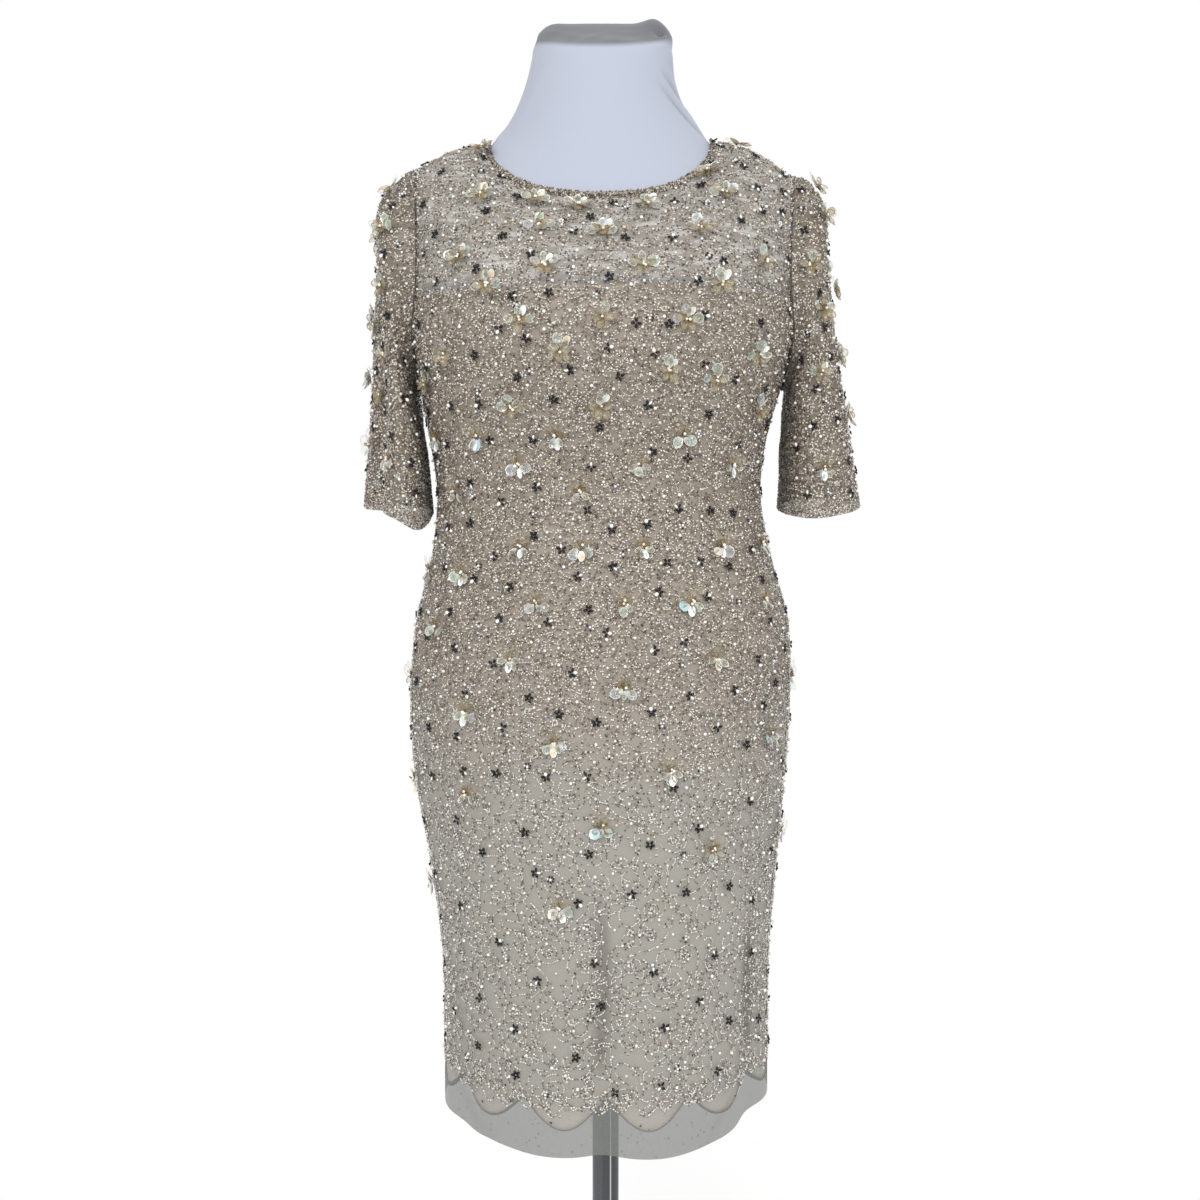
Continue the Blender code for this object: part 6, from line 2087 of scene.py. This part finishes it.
def jersey_shaped(points, normals):
    """The form's points with the folds, and the knot and dimple at the top of the neck, and
    how much painted shade each takes in its trough or the dimple, from 0 to 1."""
    x, z = points[:, 0], points[:, 2]
    ahead = smooth_step(-normals[:, 1] / 0.4)
    push = np.zeros(len(points))
    for fold in JERSEY_FOLDS:
        passed, aside = along_crease(fold, x, z, 1.0)
        push += fold.tall * np.sin(math.pi * passed) * bell(aside / fold.wide) * ahead
    dimple = np.hypot(x - DIMPLE[0], z - DIMPLE[1]) / DIMPLE_WIDE
    push -= DIMPLE_DEPTH * bell(dimple) * ahead
    # painted shade, deepest in the deepest troughs and in the dimple
    dark = np.clip(-push / FOLD_DEPTH, 0, 1)
    ripple = 0.0007 * (np.sin(x * 160 + z * 60) * np.sin(x * 90 - z * 240))
    push += ripple * smooth_step((z - 1.515) / 0.01) * (1 - smooth_step((z - 1.538) / 0.01))
    moved = points + normals * push[:, None]
    knot = bell((x - KNOT[0]) / KNOT_WIDE) * smooth_step((z - KNOT[1] + 0.012) / 0.014)
    corner = bell((x - CORNER[0]) / CORNER_WIDE) * smooth_step((z - CORNER[1]) / 0.012)
    lift = TOP_LIFT * smooth_step((z - 1.545) / 0.01)
    moved[:, 2] += KNOT_TALL * knot + CORNER_TALL * corner + lift
    return moved, dark


def subdivided(cage, levels):
    """The cage as a fine mesh."""
    subdivide = cage.modifiers["smooth"]
    subdivide.levels = levels
    subdivide.render_levels = levels
    evaluated = cage.evaluated_get(bpy.context.evaluated_depsgraph_get())
    return bpy.data.meshes.new_from_object(evaluated)


def make_form():
    """The form's solid, made smooth by subdivision and finest at the neck, which shows, with
    soft folds in its jersey there."""
    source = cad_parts["dress_form"]
    work = bmesh.new()
    work.from_mesh(source.data)
    bmesh.ops.remove_doubles(work, verts=work.verts, dist=0.00005)
    bmesh.ops.join_triangles(
        work,
        faces=work.faces,
        angle_face_threshold=math.radians(40),
        angle_shape_threshold=math.radians(60),
    )
    coarse = bpy.data.meshes.new("form_cage")
    work.to_mesh(coarse)
    work.free()
    cage = bpy.data.objects.new("form_cage", coarse)
    bpy.context.scene.collection.objects.link(cage)
    cage.modifiers.new("smooth", "SUBSURF")
    whole = bmesh.new()
    for levels, neck in ((2, False), (3, True)):
        part, fine = bmesh.new(), subdivided(cage, levels)
        part.from_mesh(fine)
        other = [face for face in part.faces if (face.calc_center_median().z > FINE_NECK_Z) != neck]
        bmesh.ops.delete(part, geom=other, context="FACES")
        part.to_mesh(fine)
        part.free()
        whole.from_mesh(fine)
    mesh = bpy.data.meshes.new("dress_form_jersey")
    whole.to_mesh(mesh)
    whole.free()
    bpy.data.objects.remove(cage)
    points, normals = np.zeros(len(mesh.vertices) * 3), np.zeros(len(mesh.vertices) * 3)
    mesh.vertices.foreach_get("co", points)
    mesh.vertices.foreach_get("normal", normals)
    moved, dark = jersey_shaped(points.reshape(-1, 3), normals.reshape(-1, 3))
    mesh.vertices.foreach_set("co", moved.ravel())
    # red carries the painted shade of the troughs
    marks = np.zeros((len(dark), 4))
    marks[:, 0], marks[:, 3] = dark, 1.0
    paint(mesh, marks)
    mesh.update()
    mesh.materials.clear()
    made = add_object("dress_form_jersey", mesh, "jersey")
    made.data.shade_smooth()
    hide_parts("dress_form")


def add_turned(name, profile, material, node, steps=128):
    """A solid of revolution about the pole's axis. The profile runs from the top down."""
    radius, height = np.array(profile).T
    turns = (np.arange(steps) * 2 * math.pi / steps)[:, None]
    level = np.broadcast_to(height, (steps, len(height)))
    points = np.stack([radius * np.cos(turns), radius * np.sin(turns), level], axis=2)
    faces = grid_faces(steps, len(profile), closed=True)[:, ::-1]
    made = add_mesh(name, points.reshape(-1, 3), faces, material)
    made.data.set_sharp_from_angle(angle=math.radians(35))
    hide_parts(node)


def arc(middle, radius, start, end, steps=8):
    """Points on an arc of a profile, angles in degrees."""
    turns = np.radians(np.linspace(start, end, steps))
    return [(middle[0] + radius * math.cos(t), middle[1] + radius * math.sin(t)) for t in turns]


def make_stand():
    """The pole with its flange, and the base plate with its hub."""
    low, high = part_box("stand_pole")
    top, foot = high.z, low.z
    flange = top - POLE_FLANGE_TALL
    tiny = 0.0001
    profile = [(tiny, top), (POLE_FLANGE_RADIUS - 0.001, top), (POLE_FLANGE_RADIUS, top - 0.001)]
    profile += [(POLE_FLANGE_RADIUS, flange), (POLE_RADIUS, flange)]
    profile += [(POLE_RADIUS, foot), (tiny, foot)]
    add_turned("stand_pole_tube", profile, "steel_tube", "stand_pole")
    bore = POLE_RADIUS + STAND_GAP
    profile = [(tiny, BASE_FLOOR), (bore, BASE_FLOOR), (bore, HUB_TOP)]
    profile += arc((HUB_RADIUS - HUB_EDGE, HUB_TOP - HUB_EDGE), HUB_EDGE, 90, 0)
    profile += arc((HUB_RADIUS + HUB_FILLET, BASE_TALL + HUB_FILLET), HUB_FILLET, 180, 270)
    profile += arc((BASE_RADIUS - BASE_EDGE, BASE_TALL - BASE_EDGE), BASE_EDGE, 90, 0)
    profile += [(BASE_RADIUS, 0.0), (tiny, 0.0)]
    add_turned("stand_base_plate", profile, "steel", "stand_base")


# ------------------------------------------------------------------------------- the zip


COIL_PITCH = 0.0022
COIL_SIZE = (0.0022, 0.0006, 0.0008)


def make_zip():
    """The tape inside the centre back seam, and its coil."""
    surface = SURFACES["back"]
    levels = np.linspace((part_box("zip_tape")[0].z - HEM_Z) / ROW_TALL, TOP_ROW, 120)
    room = TAPE_HALF / surface.scales(0.5, 20.0)[0]
    u, v = np.meshgrid(np.linspace(0.5 - room, 0.5 + room, 7), levels, indexing="ij")
    grid = surface.at(u, v, -LINING_DEPTH)
    tape = add_cloth("zip_tape_strip", "zip_tape", grid, surface.normal(u, v), "tape")
    middle = surface.at(0.5, levels, -LINING_DEPTH + 0.0006)
    passed = run_length(middle)
    places = read_at(np.arange(0.0, passed[-1], COIL_PITCH), passed, middle)
    coil = Stamps(ROUND)
    coil.add(places, np.eye(3), COIL_SIZE, (*COIL_COLOUR, 1.0))
    return tape, coil.make("zip_coil", "coil", False)


# ------------------------------------------------------------------------------- studio

CAMERA_PLACE = (-0.006, -1.45, 1.07)
CAMERA_DOWN = 4.1        # degrees below level
CAMERA_FOCAL = 41.8
CAMERA_SENSOR = 36.0
SUBJECT = Vector((0.0, 0.0, 1.0))
Lamp = namedtuple("Lamp", "name place size power colour")
LAMPS = (
    Lamp("key", (-0.5, -3.0, 2.5), 1.4, 40, (1.0, 0.99, 0.97)),
    Lamp("fill", (2.2, -2.2, 1.6), 1.6, 11, (0.97, 0.98, 1.0)),
    Lamp("behind", (0.6, 3.0, 2.3), 1.6, 34, (1.0, 0.99, 0.98)),
    Lamp("spark_left", (-0.7, -2.2, 2.6), 0.10, 6, (1.0, 1.0, 1.0)),
    Lamp("spark_right", (1.1, -2.0, 2.2), 0.10, 5, (1.0, 1.0, 1.0)),
    Lamp("spark_low", (-0.3, -2.4, 0.9), 0.10, 4, (1.0, 1.0, 1.0)),
)
WORLD_LIGHT = 0.78
WORLD_SEEN = 1.0


def aim(made, place, target):
    made.location = place
    made.rotation_euler = (target - Vector(place)).to_track_quat("-Z", "Y").to_euler()


def make_studio():
    bpy.ops.mesh.primitive_plane_add(size=16.0)
    floor = bpy.context.object
    floor.name = "studio_floor"
    floor.data.materials.append(floor_material())
    for lamp in LAMPS:
        data = bpy.data.lights.new(lamp.name, "AREA")
        data.size = lamp.size
        data.energy = lamp.power
        data.color = lamp.colour
        made = bpy.data.objects.new(lamp.name, data)
        bpy.context.scene.collection.objects.link(made)
        aim(made, lamp.place, SUBJECT)
    world = bpy.data.worlds.new("studio")
    bpy.context.scene.world = world
    world.use_nodes = True
    tree = world.node_tree
    background = tree.nodes["Background"]
    background.inputs["Color"].default_value = (1.0, 1.0, 1.0, 1.0)
    path = tree.nodes.new("ShaderNodeLightPath")
    strength = tree.nodes.new("ShaderNodeMapRange")
    strength.inputs["To Min"].default_value = WORLD_LIGHT
    strength.inputs["To Max"].default_value = WORLD_SEEN
    tree.links.new(path.outputs["Is Camera Ray"], strength.inputs["Value"])
    tree.links.new(strength.outputs["Result"], background.inputs["Strength"])
    bpy.context.scene.view_settings.view_transform = "Standard"


def make_camera():
    data = bpy.data.cameras.new("camera")
    data.lens = CAMERA_FOCAL
    data.sensor_width = CAMERA_SENSOR
    camera = bpy.data.objects.new("camera", data)
    camera.location = CAMERA_PLACE
    camera.rotation_euler = (math.radians(90 - CAMERA_DOWN), 0.0, 0.0)
    bpy.context.scene.collection.objects.link(camera)
    bpy.context.scene.camera = camera


# --------------------------------------------------------------------------------- make

NETS = {node: make_panel_net(node) for node in PANELS}
NETS.update(("sleeve_" + side, make_sleeve_net(side)) for side in SIDES)
LINED = {node: make_lining(node) for node in LININGS}
BINDING = make_binding()
SEAMS = make_seams()
TRIMMINGS = make_trimmings()
EDGE_TRIM = [make_neck_beads(), make_armhole_beads()]
TAPE, COIL = make_zip()
make_form()
make_stand()
for node_name in ("zip_slider", "zip_pull"):
    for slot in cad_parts[node_name].material_slots:
        slot.material = MATERIALS["nickel"]
make_studio()
make_camera()

# Flat cut sizes: width and length in metres, and the cut's area in square metres.
Cut = namedtuple("Cut", "width length area held")
BACK_CUT = Cut(0.28, 1.02, 0.22, "stretched")
SLEEVE_CUT = Cut(0.35, 0.32, 0.082, "hung")
BACK_LINING_CUT = Cut(0.28, 0.82, 0.20, "stretched")
CUTS = {
    "front_panel": Cut(0.56, 1.02, 0.46, "stretched"),
    "back_panel_left": BACK_CUT,
    "back_panel_right": BACK_CUT,
    "sleeve_left": SLEEVE_CUT,
    "sleeve_right": SLEEVE_CUT,
    "lining_front": Cut(0.55, 0.82, 0.40, "stretched"),
    "lining_back_left": BACK_LINING_CUT,
    "lining_back_right": BACK_LINING_CUT,
}


def declare():
    on_cloth = {node: [] for node in CUTS}
    on_cloth["front_panel"] = TRIMMINGS["front"] + SEAMS + EDGE_TRIM
    on_cloth["back_panel_left"] = TRIMMINGS["back"]
    on_cloth["sleeve_left"] = TRIMMINGS["sleeve_left"]
    on_cloth["sleeve_right"] = TRIMMINGS["sleeve_right"]


declare()
